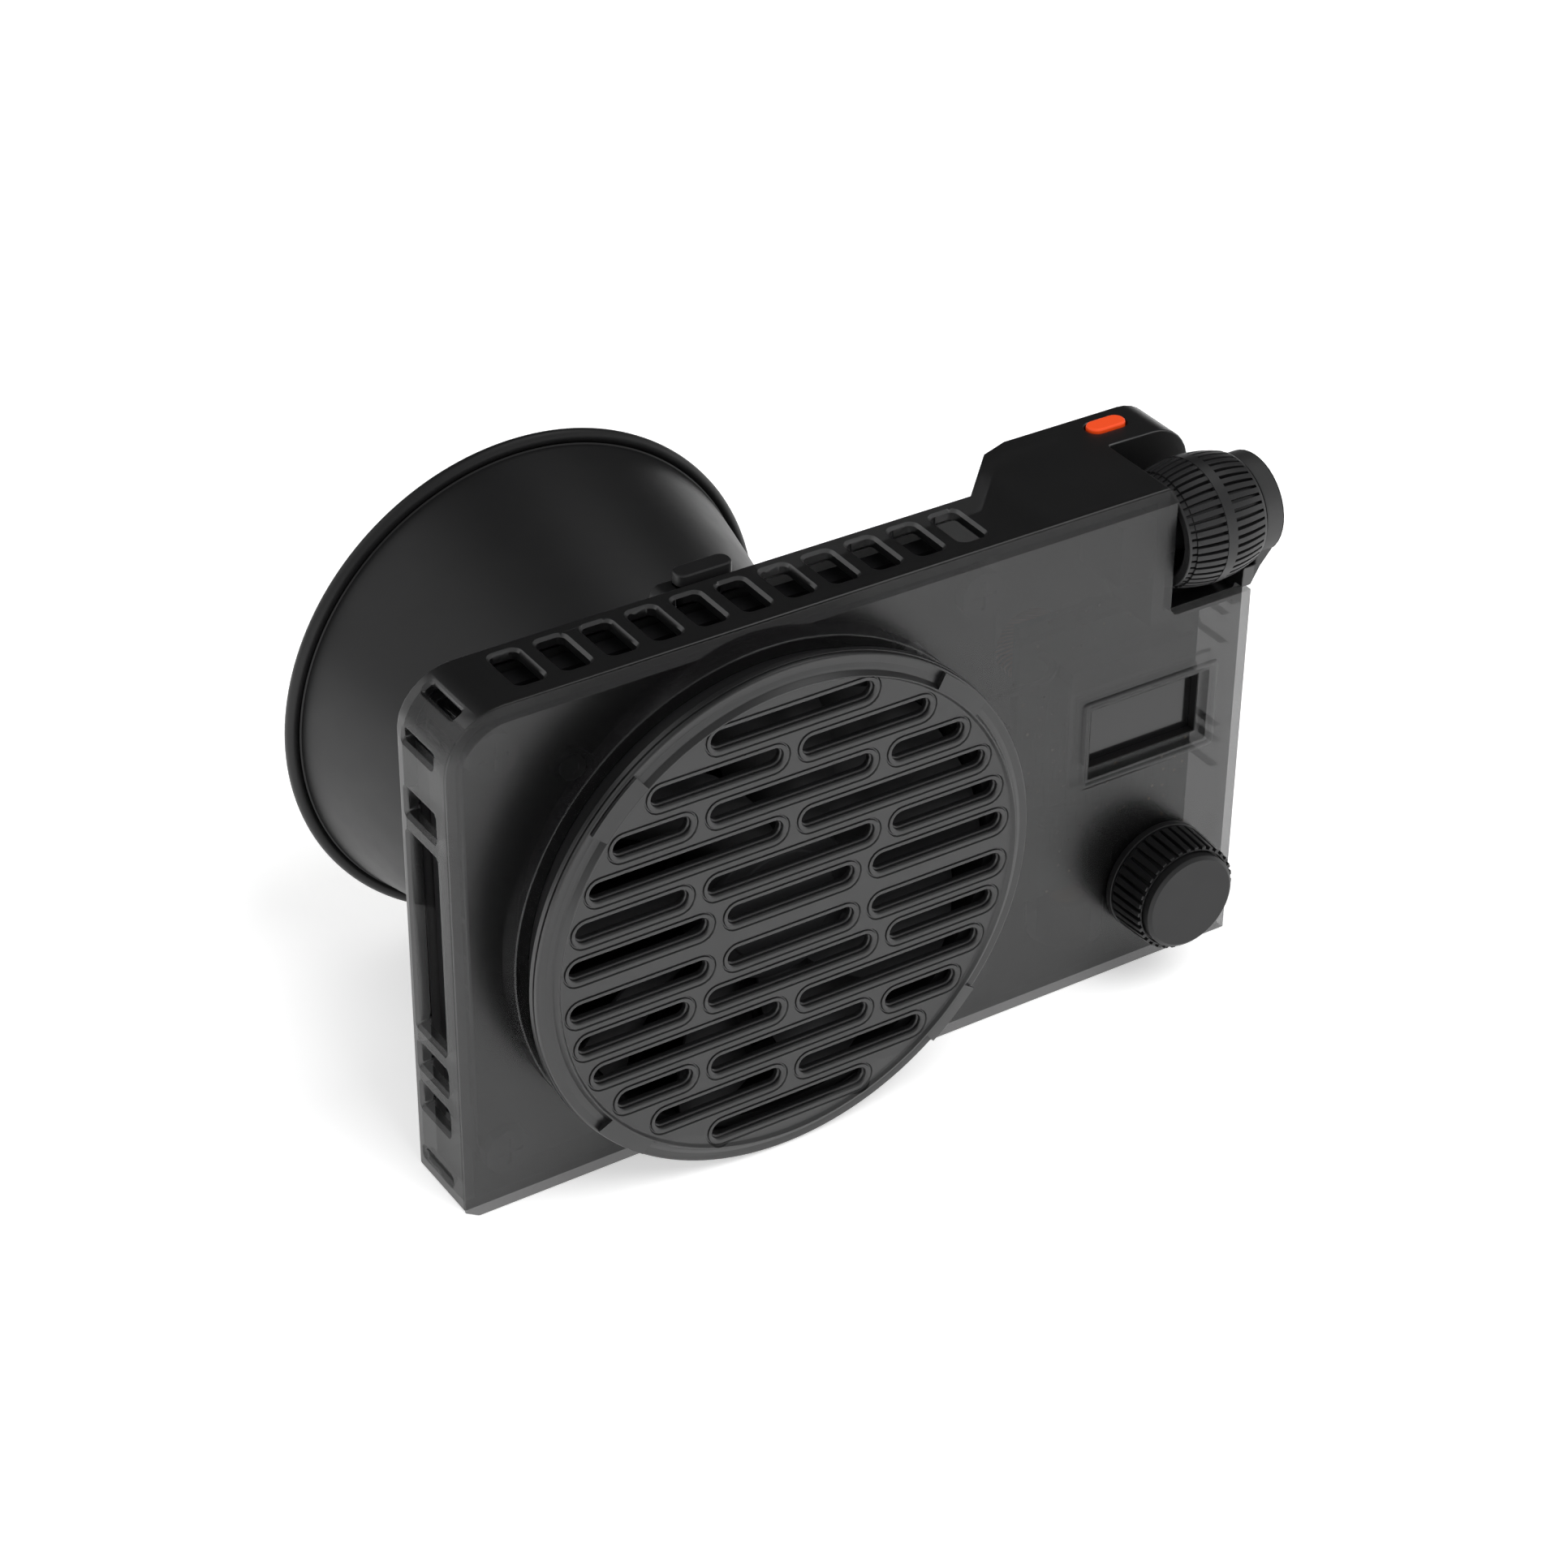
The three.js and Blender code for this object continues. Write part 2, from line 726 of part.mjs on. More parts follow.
function frontCase() {
  const outline = solid(alongY(caseOutline(0), caseRear, gripFront));
  const block = solid(alongZ(casePlan(0, caseRear), 0, bodyHeight)).intersect(outline);
  const hollowOutline = solid(
    alongY(caseOutline(wallThickness), caseRear - overrun, gripFront),
  );
  const hollow = solid(
    alongZ(casePlan(wallThickness, caseRear - overrun), wallThickness, innerTop),
  ).intersect(hollowOutline);
  const wellOuter = wellSpace(wellRadius + wellWall, wellLeft - wellWall, right)
    .intersect(block);
  const posts = [-1, 1].flatMap((sideX) => [-1, 1].map((sideZ) => solid(
    disc(postRadius, postRear, front - wallThickness / 2, postSteps)
      .translate(sideX * postOffsetX, 0, axisZ + sideZ * postOffsetZ),
  )));
  const ribs = ribOffsets.map((z) => box(
    innerRight - ribReach, caseRear, axisZ + z - ribThickness / 2,
    innerRight + wallThickness / 2, controlRear - slipGap, axisZ + z + ribThickness / 2,
  ));
  const tripodBoss = solid(
    toZ(disc(
      tripodRadius + tripodWall, wallThickness / 2, tripodDepth + 2 * seatGap, postSteps,
    ))
      .translate(tripodX, tripodY, 0),
  );
  const shell = joined([block.subtract(hollow), wellOuter, ...posts, ...ribs, tripodBoss]);
  const postHoles = [-1, 1].flatMap((sideX) => [-1, 1].map((sideZ) => solid(
    disc(
      caseScrewRadius + seatGap, postRear - overrun, trayRear + caseScrewLength + slipGap,
      screwSteps,
    )
      .translate(sideX * postOffsetX, 0, axisZ + sideZ * postOffsetZ),
  )));
  const lampHole = solid(
    disc(pedestalRadius + lampHoleGap, innerFront - overrun, front + overrun, middleSteps)
      .translate(0, 0, axisZ),
  );
  const screwHoles = around(screwCount, mountScrewCircle, screwStart).map(({ x, z }) => solid(
    disc(mountScrewRadius + seatGap, innerFront - overrun, front + overrun, screwSteps)
      .translate(x, 0, axisZ + z),
  ));
  const tripodHole = solid(
    toZ(disc(tripodRadius + seatGap, -overrun, tripodDepth, postSteps))
      .translate(tripodX, tripodY, 0),
  );
  const wheelHole = solid(
    toX(disc(
      axleRadius + bushWall + seatGap, wellLeft - wellWall - overrun, wellLeft + overrun,
      smallSteps,
    ))
      .translate(0, wheelY, wheelZ),
  );
  const buttonHole = solid(alongZ(
    stadium(
      buttonX, buttonY, (buttonLength - buttonWidth) / 2, buttonWidth / 2 + seatGap,
    ),
    innerTop - overrun, bodyHeight + overrun, screwSteps,
  ));
  const socketY = driverFront + seatGap + socketThickness / 2;
  const socketHole = solid(alongX(
    rounded(
      socketY - socketThickness / 2 - seatGap, socketZ - socketLength / 2 - seatGap,
      socketY + socketThickness / 2 + seatGap, socketZ + socketLength / 2 + seatGap,
      Array(4).fill(socketThickness / 3), ventSteps + 1,
    ),
    innerRight - overrun, right + overrun,
  ));
  const cuts = [
    ...postHoles, lampHole, ...screwHoles, tripodHole, wheelHole, buttonHole, socketHole,
    ...topVents(), ...sideVents(), cornerVent(),
    wellSpace(wellRadius, wellLeft, right + overrun),
  ];
  return cut(shell, cuts).add(ear());
}

// Outline of the cover, with the notch that the thumbwheel stands in.
function coverNotch() {
  const low = wheelZ - wellRadius;
  const shape = new THREE.Shape();
  shape.moveTo(right + overrun, low);
  shape.lineTo(right + overrun, bodyHeight + overrun);
  shape.lineTo(wellLeft, bodyHeight + overrun);
  shape.absarc(
    wellLeft + notchFillet, low + notchFillet, notchFillet, Math.PI, 3 * Math.PI / 2,
  );
  shape.closePath();
  return solid(alongY(shape, rear - overrun, caseRear));
}

function rearCover() {
  const outline = rounded(
    left + coverChamfer, -overrun, right + overrun, bodyHeight - coverChamfer,
    [0, 0, topLeftRadius - coverChamfer, 0], caseSteps,
  );
  const options = {
    depth: coverThickness * 2,
    bevelThickness: coverChamfer,
    bevelSize: coverChamfer,
    bevelSegments: 1,
  };
  const slab = solid(new THREE.ExtrudeGeometry(outline, options)
    .rotateX(Math.PI / 2)
    .translate(0, rear + coverChamfer + coverThickness * 2, 0));
  const keep = box(
    left - overrun, rear - overrun, 0, right, coverFront, bodyHeight + overrun,
  );
  const plate = slab.intersect(keep);
  const baseRing = solid(
    ring(fanBore - seatGap, baseRingRadius, baseRingRear, coverFront)
      .translate(0, 0, axisZ),
  );
  const frameLow = displayLow - displayFrameWidth;
  const frameHigh = displayLow + displayHeight + displayFrameWidth;
  const displayFrame = box(
    displayLeft - displayFrameWidth, rear + coverThickness / 2, frameLow,
    displayLeft + displayWidth + displayFrameWidth, windowRear, frameHigh,
  );
  const snaps = snapXs.flatMap((x) => [
    [innerTop - slipGap - snapThickness, innerTop - slipGap],
    [wallThickness + slipGap, wallThickness + slipGap + snapThickness],
  ].map(([low, high]) => box(
    x - snapLength / 2, rear + coverThickness / 2, low,
    x + snapLength / 2, coverFront + snapReach, high,
  )));
  const recess = displayRecess();
  const fanHole = solid(
    disc(fanBore, baseRingRear - overrun, windowRear + overrun, wholeSteps).translate(0, 0, axisZ),
  );
  const knobHole = solid(
    disc(knobShaftRadius + encoderBushWall + slipGap, rear - overrun, coverFront + overrun)
      .translate(knobX, 0, knobZ),
  );
  const body = joined([plate, baseRing, displayFrame, ...snaps]);
  return cut(body, [...recess, fanHole, knobHole, coverNotch()]);
}

// Stepped and bevelled recess over the display.
function displayRecess() {
  const outer = rectangle(
    displayLeft + displayBevel, displayLow + displayBevel,
    displayLeft + displayWidth - displayBevel, displayLow + displayHeight - displayBevel,
  );
  const options = {
    depth: displayBevel,
    bevelThickness: displayBevel,
    bevelSize: displayBevel,
    bevelSegments: 1,
    curveSegments: cornerSteps,
  };
  const mouth = solid(new THREE.ExtrudeGeometry(outer, options)
    .rotateX(Math.PI / 2)
    .translate(0, rear, 0));
  const step = solid(alongY(outer, rear - displayBevel, rear + displayStepDepth));
  const inset = displayBevel + displayStep;
  const opening = rectangle(
    displayLeft + inset, displayLow + inset,
    displayLeft + displayWidth - inset, displayLow + displayHeight - inset,
  );
  return [mouth, step, solid(alongY(opening, rear, windowRear + overrun))];
}

// Grille slots: outer rows end on one circle, and rows with a middle slot have one on each side.
function grilleSlots() {
  const slots = [];
  slotMiddleShares.forEach((share, row) => {
    const middle = slotEndCircle * share;
    const offset = slotRowOffset + row * slotRowPitch;
    const tip = Math.sqrt(slotEndCircle ** 2 - offset ** 2) + slotRadius;
    const last = row === slotMiddleShares.length - 1;
    for (const side of [-1, 1]) {
      const height = side * offset;
      if (middle > 0) slots.push([0, height, middle - slotRim - slotRadius]);
      if (last) continue;
      const inner = middle > 0 ? middle + slotGap + slotRim : slotGap / 2 + slotRim;
      const outer = tip;
      const half = (outer - inner) / 2 - slotRadius;
      for (const end of [-1, 1]) slots.push([end * (inner + outer) / 2, height, half]);
    }
  });
  return slots;
}

function grilleCap() {
  const rim = [
    [0, faceRear],
    [ridgeRadius - ridgeWidth, faceRear],
    [ridgeRadius, ridgeRear],
    [turretRadius - capDraft, capEdge],
    [turretRadius, capFront],
    [fanBore, capFront],
    [fanBore, faceFront],
    [0, faceFront],
  ];
  const slots = grilleSlots().map(([x, z, half]) => solid(
    alongY(stadium(x, z, half, slotRadius), faceRear - overrun, faceFront + overrun, slotSteps),
  ));
  return cut(solid(turned(rim)), slots);
}

function fanFrame() {
  const outer = fanBore - fanBoreGap;
  const wall = solid(ring(outer - fanWall, outer, fanRear, fanFront, ringSteps));
  const plate = solid(disc(fanPlateRadius, fanFront - fanPlateThickness, fanFront, middleSteps));
  const sleeve = solid(disc(
    sleeveRadius, fanFront - fanPlateThickness - statorLength, fanFront - fanPlateThickness / 2,
  ));
  const struts = around(fanStrutCount, 0, 0).map(({ angle }) => {
    const half = fanStrutWidth / 2;
    const bar = alongY(
      rectangle(fanPlateRadius - half, -half, outer - fanWall / 2, half),
      fanFront - fanPlateThickness, fanFront,
    );
    return solid(bar.rotateY(angle));
  });
  const ears = around(screwCount, 0, screwStart).map(({ angle }) => {
    const arm = alongY(
      stadium(
        (outer - fanWall / 2 + fanEarRadius) / 2, 0,
        (fanEarRadius - outer + fanWall / 2) / 2, fanEarRound,
      ),
      fanFront - fanEarThickness, fanFront,
    );
    return solid(arm.rotateY(angle));
  });
  const bore = solid(disc(outer - fanWall, fanRear - overrun, fanFront + overrun, ringSteps));
  const rim = cut(joined([wall, ...ears]), [bore]);
  const bearingSeat = solid(disc(
    bearingRadius + runningGap, fanRear - overrun, fanFront + overrun,
  ));
  const screwHoles = around(screwCount, fanEarRadius, screwStart).map(({ x, z }) => solid(
    disc(fanScrewRadius + seatGap, fanFront - overrun, fanFront + overrun, screwSteps)
      .translate(x, 0, z),
  ));
  return cut(joined([rim, plate, sleeve, ...struts]), [bearingSeat, ...screwHoles]);
}

const statorRear = fanFront - fanPlateThickness - seatGap - statorLength;

function fanStator() {
  const radius = fanHubRadius - fanHubWall - seatGap - magnetWall - statorGap;
  const core = solid(ring(
    sleeveRadius + seatGap, radius, statorRear, statorRear + statorLength, middleSteps,
  ));
  const slots = around(statorPoles, radius, 0).map(({ angle }) => {
    const half = poleSlotWidth / 2;
    const slot = alongY(
      rectangle(sleeveRadius + poleRoot, -half, radius + overrun, half),
      statorRear - overrun, statorRear + statorLength + overrun,
    );
    return solid(slot.rotateY(angle));
  });
  return cut(core, slots);
}

const hubRear = fanRear + bladeInset;
const hubFront = fanFront - fanPlateThickness - fanFaceGap;

// A blade that follows the hub's round at its root, and grows and leans towards its tip.
function fanBlade(tip) {
  const root = fanHubRadius - bladeRootInset;
  const low = hubRear + 2 * bladeInset;
  const rise = hubFront - hubRear - 4 * bladeInset;
  const last = 2 * bladePoints + 1;
  const places = [];
  for (let k = 0; k <= bladeStations; k += 1) {
    const share = k / bladeStations;
    const radius = root + (tip - root) * share;
    const chord = bladeChord + bladeFlare * share;
    const lead = bladeLead * degree * share ** bladeLeadCurve;
    for (let i = 0; i <= last; i += 1) {
      const upper = i <= bladePoints;
      const t = (upper ? i : last - i) / bladePoints;
      const belly = Math.sin(Math.PI * t);
      const thick = (bladeEdge + bladeBelly * belly) * (upper ? 1 : -1);
      const angle = lead + (t - 0.5) * chord / radius;
      const y = low + t * rise - bladeBow * belly + thick;
      places.push(radius * Math.cos(angle), y, radius * Math.sin(angle));
    }
  }
  const corners = [];
  const quad = (a, b, c, d) => corners.push(a, b, c, a, c, d);
  for (let k = 0; k < bladeStations; k += 1) {
    const here = k * (last + 1);
    const next = here + last + 1;
    for (let i = 0; i <= last; i += 1) {
      const j = (i + 1) % (last + 1);
      quad(here + i, here + j, next + j, next + i);
    }
  }
  const end = bladeStations * (last + 1);
  for (let i = 0; i < bladePoints; i += 1) {
    quad(i + 1, i, last - i, last - i - 1);
    quad(end + i, end + i + 1, end + last - i - 1, end + last - i);
  }
  const geometry = new THREE.BufferGeometry();
  geometry.setAttribute('position', new THREE.Float32BufferAttribute(places, 3));
  geometry.setIndex(corners);
  return geometry;
}

function fanRotor() {
  const cup = solid(turned([
    [0, hubRear],
    [fanHubRadius - fanHubWall / 2, hubRear],
    [fanHubRadius, hubRear + fanHubWall / 2],
    [fanHubRadius, hubFront],
    [fanHubRadius - fanHubWall, hubFront],
    [fanHubRadius - fanHubWall, hubRear + fanHubWall],
    [0, hubRear + fanHubWall],
  ], middleSteps));
  const tip = fanBore - fanBoreGap - fanWall - fanBladeGap;
  const blades = around(bladeCount, 0, 0).map(({ angle }) => solid(fanBlade(tip).rotateY(angle)));
  const shaftHole = solid(disc(
    fanShaftRadius + runningGap / 2, hubRear + fanHubWall / 2, hubFront, smallSteps,
  ));
  return joined([cup, ...blades]).subtract(shaftHole);
}

function fanTray() {
  const half = postOffsetX + trayEdge * 2;
  const low = wallThickness + trayEdge;
  const high = innerTop - trayEdge;
  const outline = rounded(-half, low, half, high, Array(4).fill(plateCorner));
  const plate = solid(alongY(outline, trayRear, trayFront));
  const opening = solid(
    disc(trayOpening, trayRear - overrun, trayFront + overrun, middleSteps).translate(0, 0, axisZ),
  );
  const caseHoles = [-1, 1].flatMap((sideX) => [-1, 1].map((sideZ) => solid(
    disc(caseScrewRadius + seatGap * 2, trayRear - overrun, trayFront + overrun, screwSteps)
      .translate(sideX * postOffsetX, 0, axisZ + sideZ * postOffsetZ),
  )));
  const fanHoles = around(screwCount, fanEarRadius, screwStart).map(({ x, z }) => solid(
    disc(fanScrewRadius + seatGap, trayRear - overrun, trayFront + overrun, screwSteps)
      .translate(x, 0, axisZ + z),
  ));
  return cut(plate, [opening, ...caseHoles, ...fanHoles]);
}

// A pan head screw along Y with its head at the rear.
function screwBlank(radius, headRadius, headHeight, length) {
  return solid(turned([
    [0, 0],
    [headRadius, 0],
    [headRadius, headHeight],
    [radius, headHeight],
    [radius, headHeight + length],
    [0, headHeight + length],
  ], screwSteps));
}

// The screws that hold the tray have a cross recess.
function crossScrew(radius, headRadius, headHeight, length) {
  const reach = headRadius * crossReachShare;
  const half = crossWidth / 2;
  const cross = [
    box(-reach, -overrun, -half, reach, crossDepth, half),
    box(-half, -overrun, -reach, half, crossDepth, reach),
  ];
  return cut(screwBlank(radius, headRadius, headHeight, length), cross);
}

// The smaller screws have a hexagon recess.
function socketScrew(radius, headRadius, headHeight, length) {
  const hexagon = solid(
    disc(headRadius * hexagonShare, -overrun, headHeight / 2, hexagonSides),
  );
  return screwBlank(radius, headRadius, headHeight, length).subtract(hexagon);
}

function heatSink() {
  const half = postOffsetX + postRadius + seatGap;
  const low = wallThickness + sinkEdge;
  const high = innerTop - sinkEdge;
  const outline = rounded(-half, low, half, high, Array(4).fill(plateCorner));
  const base = solid(alongY(outline, sinkBack, sinkFront));
  const pedestal = solid(
    disc(pedestalRadius, sinkBack + wallThickness, pedestalFront, middleSteps)
      .translate(0, 0, axisZ),
  );
  const finLow = wallThickness + finTopInset;
  const finHigh = innerTop - finTopInset;
  const finRear = postRear + seatGap;
  const fins = around(finCount, 0, 0).map(({ angle }) => {
    const bar = alongY(
      rectangle(finInnerRadius, -finThickness / 2, finOuterRadius, finThickness / 2),
      finRear, sinkBack + wallThickness / 2,
    );
    return solid(bar.rotateY(angle).translate(0, 0, axisZ));
  });
  const keep = box(-half, finRear - overrun, finLow, half, pedestalFront + overrun, finHigh);
  const core = solid(
    disc(finInnerRadius + finThickness, finRear, sinkBack + wallThickness / 2, middleSteps)
      .translate(0, 0, axisZ),
  );
  const finned = joined([core, ...fins]).intersect(keep);
  const posts = [-1, 1].flatMap((sideX) => [-1, 1].map((sideZ) => solid(
    disc(postRadius + slipGap, finRear - overrun, sinkFront + overrun, postSteps)
      .translate(sideX * postOffsetX, 0, axisZ + sideZ * postOffsetZ),
  )));
  const screwHoles = around(screwCount, mountScrewCircle, screwStart).map(({ x, z }) => solid(
    disc(
      mountScrewRadius + seatGap / 2, sinkFront - mountScrewBite - slipGap, sinkFront + overrun,
      screwSteps,
    ).translate(x, 0, axisZ + z),
  ));
  const channel = box(
    ledLeadX - leadChannel / 2, sinkFront - leadChannel, axisZ - leadChannel / 2,
    half + overrun, sinkFront + seatGap, axisZ + leadChannel / 2,
  );
  const riser = solid(
    disc(leadChannel / 2, sinkFront - leadChannel, pedestalFront + overrun, screwSteps)
      .translate(ledLeadX, 0, axisZ),
  );
  return cut(joined([base, pedestal, finned]), [...posts, ...screwHoles, channel, riser]);
}

function cobBoard() {
  const low = pedestalFront + seatGap;
  return box(
    -boardWide / 2, low, axisZ - boardTall / 2, boardWide / 2, boardFront, axisZ + boardTall / 2,
  );
}

function ledHolder() {
  const low = pedestalFront + seatGap;
  const body = solid(turned([
    [0, low],
    [pedestalRadius, low],
    [pedestalRadius, holderFront],
    [0, holderFront],
  ], middleSteps));
  const half = holderPocket / 2;
  const pocket = box(-half, low - overrun, -half, half, boardFront + seatGap * 2, half);
  const mouth = solid(turned([
    [0, low],
    [holderOpening, low],
    [holderOpening, boardFront + emitterHeight],
    [holderOpening + holderFlare, holderFront + seatGap],
    [0, holderFront + seatGap],
  ], middleSteps));
  return cut(body, [pocket, mouth]);
}

function lampMountRing() {
  const back = mountRear + grooveBack;
  const lip = back + grooveWidth;
  const body = solid(turned([
    [mountBore, mountRear],
    [mountRadius, mountRear],
    [mountRadius, mountFront - mountChamfer],
    [mountRadius - mountChamfer, mountFront],
    [mountBore, mountFront],
    [mountBore, lip],
    [grooveRadius, lip],
    [grooveRadius, back],
    [mountBore, back],
  ], ringSteps));
  const boss = solid(alongY(
    rounded(
      -latchBossHalf, grooveRadius + wallThickness, latchBossHalf, latchBossTop,
      [0, latchBossRound, latchBossRound, 0],
    ),
    mountRear, mountRear + latchBossDepth,
  ));
  const entries = around(lugCount, 0, twistAngle + 90).map(({ angle }) => {
    const half = (lugAngle / 2 + lugGapAngle) * degree;
    const shape = new THREE.Shape();
    shape.moveTo(0, 0);
    shape.absarc(0, 0, grooveRadius, angle - half, angle + half);
    shape.closePath();
    return solid(alongY(shape, back + grooveWidth / 2, mountFront + overrun));
  });
  const screws = around(screwCount, mountScrewCircle, screwStart).flatMap(({ x, z }) => [
    solid(disc(mountScrewRadius + seatGap, mountRear - overrun, mountFront + overrun, screwSteps)
      .translate(x, 0, z)),
    solid(disc(
      mountScrewHead + seatGap, mountFront - mountScrewHeadHeight - seatGap,
      mountFront + overrun, screwSteps,
    ).translate(x, 0, z)),
  ]);
  const slotRear = mountRear + latchSlotRear;
  const latchSlot = box(
    latchStemRight - latchStemWidth - latchSpringLength - seatGap * 2, slotRear,
    latchBossTop - latchStemDrop - seatGap,
    latchSlotRight, slotRear + latchSlotDepth, latchBossTop + overrun,
  );
  return cut(body.add(boss), [...entries, ...screws, latchSlot]);
}

const latchX = latchTabShift;
const latchStemRight = latchSlotRight - seatGap * 2;

function mountLatch() {
  const low = latchBossTop + seatGap * 2;
  const tab = solid(alongY(
    rounded(
      latchX - latchTabLength / 2, low, latchX + latchTabLength / 2, low + latchTabHeight,
      [0, latchTabRound, latchTabRound, 0],
    ),
    mountRear + latchTabBack, mountRear + latchTabBack + latchTabDepth,
  ));
  const stemRear = mountRear + latchSlotRear + seatGap * 2;
  const stem = box(
    latchStemRight - latchStemWidth, stemRear, latchBossTop - latchStemDrop + seatGap,
    latchStemRight, stemRear + latchSlotDepth - seatGap * 4, low + latchTabHeight / 2,
  );
  return tab.add(stem);
}

// A coil along X between the end of the latch's slot and its stem.
function latchSpring() {
  const start = latchStemRight - latchStemWidth - seatGap - latchSpringWire;
  const curve = new THREE.Curve();
  const turns = latchSpringTurns;
  const length = latchSpringLength - 2 * latchSpringWire;
  curve.getPoint = (t) => new THREE.Vector3(
    start - t * length,
    latchSpringRadius * Math.cos(2 * Math.PI * turns * t),
    latchSpringRadius * Math.sin(2 * Math.PI * turns * t),
  );
  const wire = new THREE.ExtrudeGeometry(wireShape(latchSpringWire, springSides), {
    steps: turns * springSteps, extrudePath: curve, curveSegments: 1,
  });
  const middle = mountRear + latchSlotRear + latchSlotDepth / 2;
  return solid(wire.translate(0, middle, latchBossTop - latchStemDrop / 2));
}

// Section of a wire or lead with a given number of flat sides.
function wireShape(radius, sides) {
  return polygon(Array.from({ length: sides }, (_, i) => {
    const angle = i * 2 * Math.PI / sides;
    return [radius * Math.cos(angle), radius * Math.sin(angle)];
  }));
}

function lead(points, radius) {
  const curve = new THREE.CatmullRomCurve3(
    points.map((p) => new THREE.Vector3(...p)), false, 'centripetal',
  );
  return solid(new THREE.ExtrudeGeometry(wireShape(radius, leadSides), {
    steps: leadSteps, extrudePath: curve, curveSegments: 1,
  }));
}

function reflector() {
  const rearEnd = coneRear - collarSink - slipGap;
  const coneFront = coneRear + coneLength;
  const radiusAt = (share) => coneStart + (coneEnd - coneStart) * share
    + coneBulge * 4 * share * (1 - share);
  const outside = Array.from({ length: coneSteps + 1 }, (_, i) => {
    const share = i / coneSteps;
    return [radiusAt(share), coneRear + share * coneLength];
  });
  const inside = outside.map(([r, y]) => [r - reflectorWall, y]).reverse();
  const beadMiddle = turretRadius - beadRadius;
  const bead = Array.from({ length: beadSteps + 1 }, (_, i) => {
    const angle = (beadStart + i * beadSweep / beadSteps) * degree;
    return [
      beadMiddle + beadRadius * Math.cos(angle), coneFront + beadRise + beadRadius * Math.sin(angle),
    ];
  });
  const profile = [
    [collarOuter, rearEnd],
    [collarOuter, coneRear],
    ...outside,
    ...bead,
    [beadMiddle - beadRadius, coneFront + beadRise / 2],
    ...inside,
    [collarOuter - reflectorWall, coneRear + reflectorWall],
    [collarOuter - reflectorWall, rearEnd],
  ];
  const shell = solid(turned(profile));
  const lugRear = mountRear + grooveBack + (grooveWidth - lugThickness) / 2;
  const keep = solid(ring(
    collarOuter - reflectorWall / 2, collarOuter + lugProud, lugRear, lugRear + lugThickness,
  ));
  const lugs = around(lugCount, 0, 90).map(({ angle }) => {
    const half = lugAngle / 2 * degree;
    const shape = new THREE.Shape();
    shape.moveTo(0, 0);
    shape.absarc(0, 0, collarOuter + lugProud + overrun, angle - half, angle + half);
    shape.closePath();
    return solid(alongY(shape, lugRear, lugRear + lugThickness)).intersect(keep);
  });
  return joined([shell, ...lugs]);
}

// Control knob: a smooth collar and a band of ribs that narrows to the rear end.
const knobFront = rear - knobStandOff;
const knobBandFront = knobFront - collarWidth;
const knobRear = rear - knobReach;

function controlKnob() {
  const collar = solid(turned([
    [0, knobBandFront],
    [ribRearRadius, knobBandFront],
    [collarRadius, knobFront],
    [0, knobFront],
  ]));
  const points = [];
  for (let i = 0; i < ribCount; i += 1) {
    const step = 2 * Math.PI / ribCount;
    const middle = i * step;
    const half = step * ribFillShare / 2;
    const tip = ribRearRadius + overrun;
    for (const [radius, angle] of [
      [ribRootRadius, middle - half - half * ribFillShare / 4], [tip, middle - half],
      [tip, middle + half], [ribRootRadius, middle + half + half * ribFillShare / 4],
    ]) points.push([radius * Math.cos(angle), radius * Math.sin(angle)]);
  }
  const star = solid(alongY(polygon(points), knobRear, knobBandFront));
  const taper = solid(turned([
    [0, knobRear],
    [ribFrontRadius, knobRear],
    [ribRearRadius, knobBandFront],
    [0, knobBandFront],
  ], ribCount, Math.PI / ribCount - Math.PI / 2));
  const recess = solid(disc(
    knobCapRadius + knobGroove, knobRear - overrun, knobRear + knobGrooveDepth, middleSteps,
  ));
  const bore = solid(disc(
    knobShaftRadius + runningGap, knobRear + knobShaftInset, knobFront + overrun,
  ));
  return cut(collar.add(star.intersect(taper)), [recess, bore]);
}

function knobCap() {
  const rearFace = knobRear - knobCapRise;
  return solid(turned([
    [0, rearFace],
    [knobCapRadius - knobCapChamfer, rearFace],
    [knobCapRadius, rearFace + knobCapChamfer / 2],
    [knobCapRadius, knobRear + knobGrooveDepth - seatGap],
    [0, knobRear + knobGrooveDepth - seatGap],
  ], middleSteps));
}

const plungerRear = encoderRear + encoderDepth / 2;

function encoderBody() {
  const half = encoderSize / 2;
  const block = box(-half, encoderRear, -half, half, encoderFront, half);
  const bush = solid(disc(
    knobShaftRadius + runningGap + encoderBushWall, rear + seatGap * 2,
    encoderRear + wallThickness / 2,
  ));
  const bore = solid(disc(knobShaftRadius + runningGap, rear - overrun, encoderFront));
  const room = solid(disc(
    plungerRadius + seatGap, plungerRear - slipGap, encoderFront + overrun,
  ));
  return cut(block.add(bush), [bore, room]);
}

function encoderPlunger() {
  const low = plungerRear;
  return solid(turned([
    [0, low],
    [plungerRadius, low],
    [plungerRadius, low + plungerThickness],
    [plungerNubRadius, low + plungerThickness],
    [plungerNubRadius, low + plungerThickness + plungerNubLength],
    [0, low + plungerThickness + plungerNubLength],
  ], screwSteps));
}

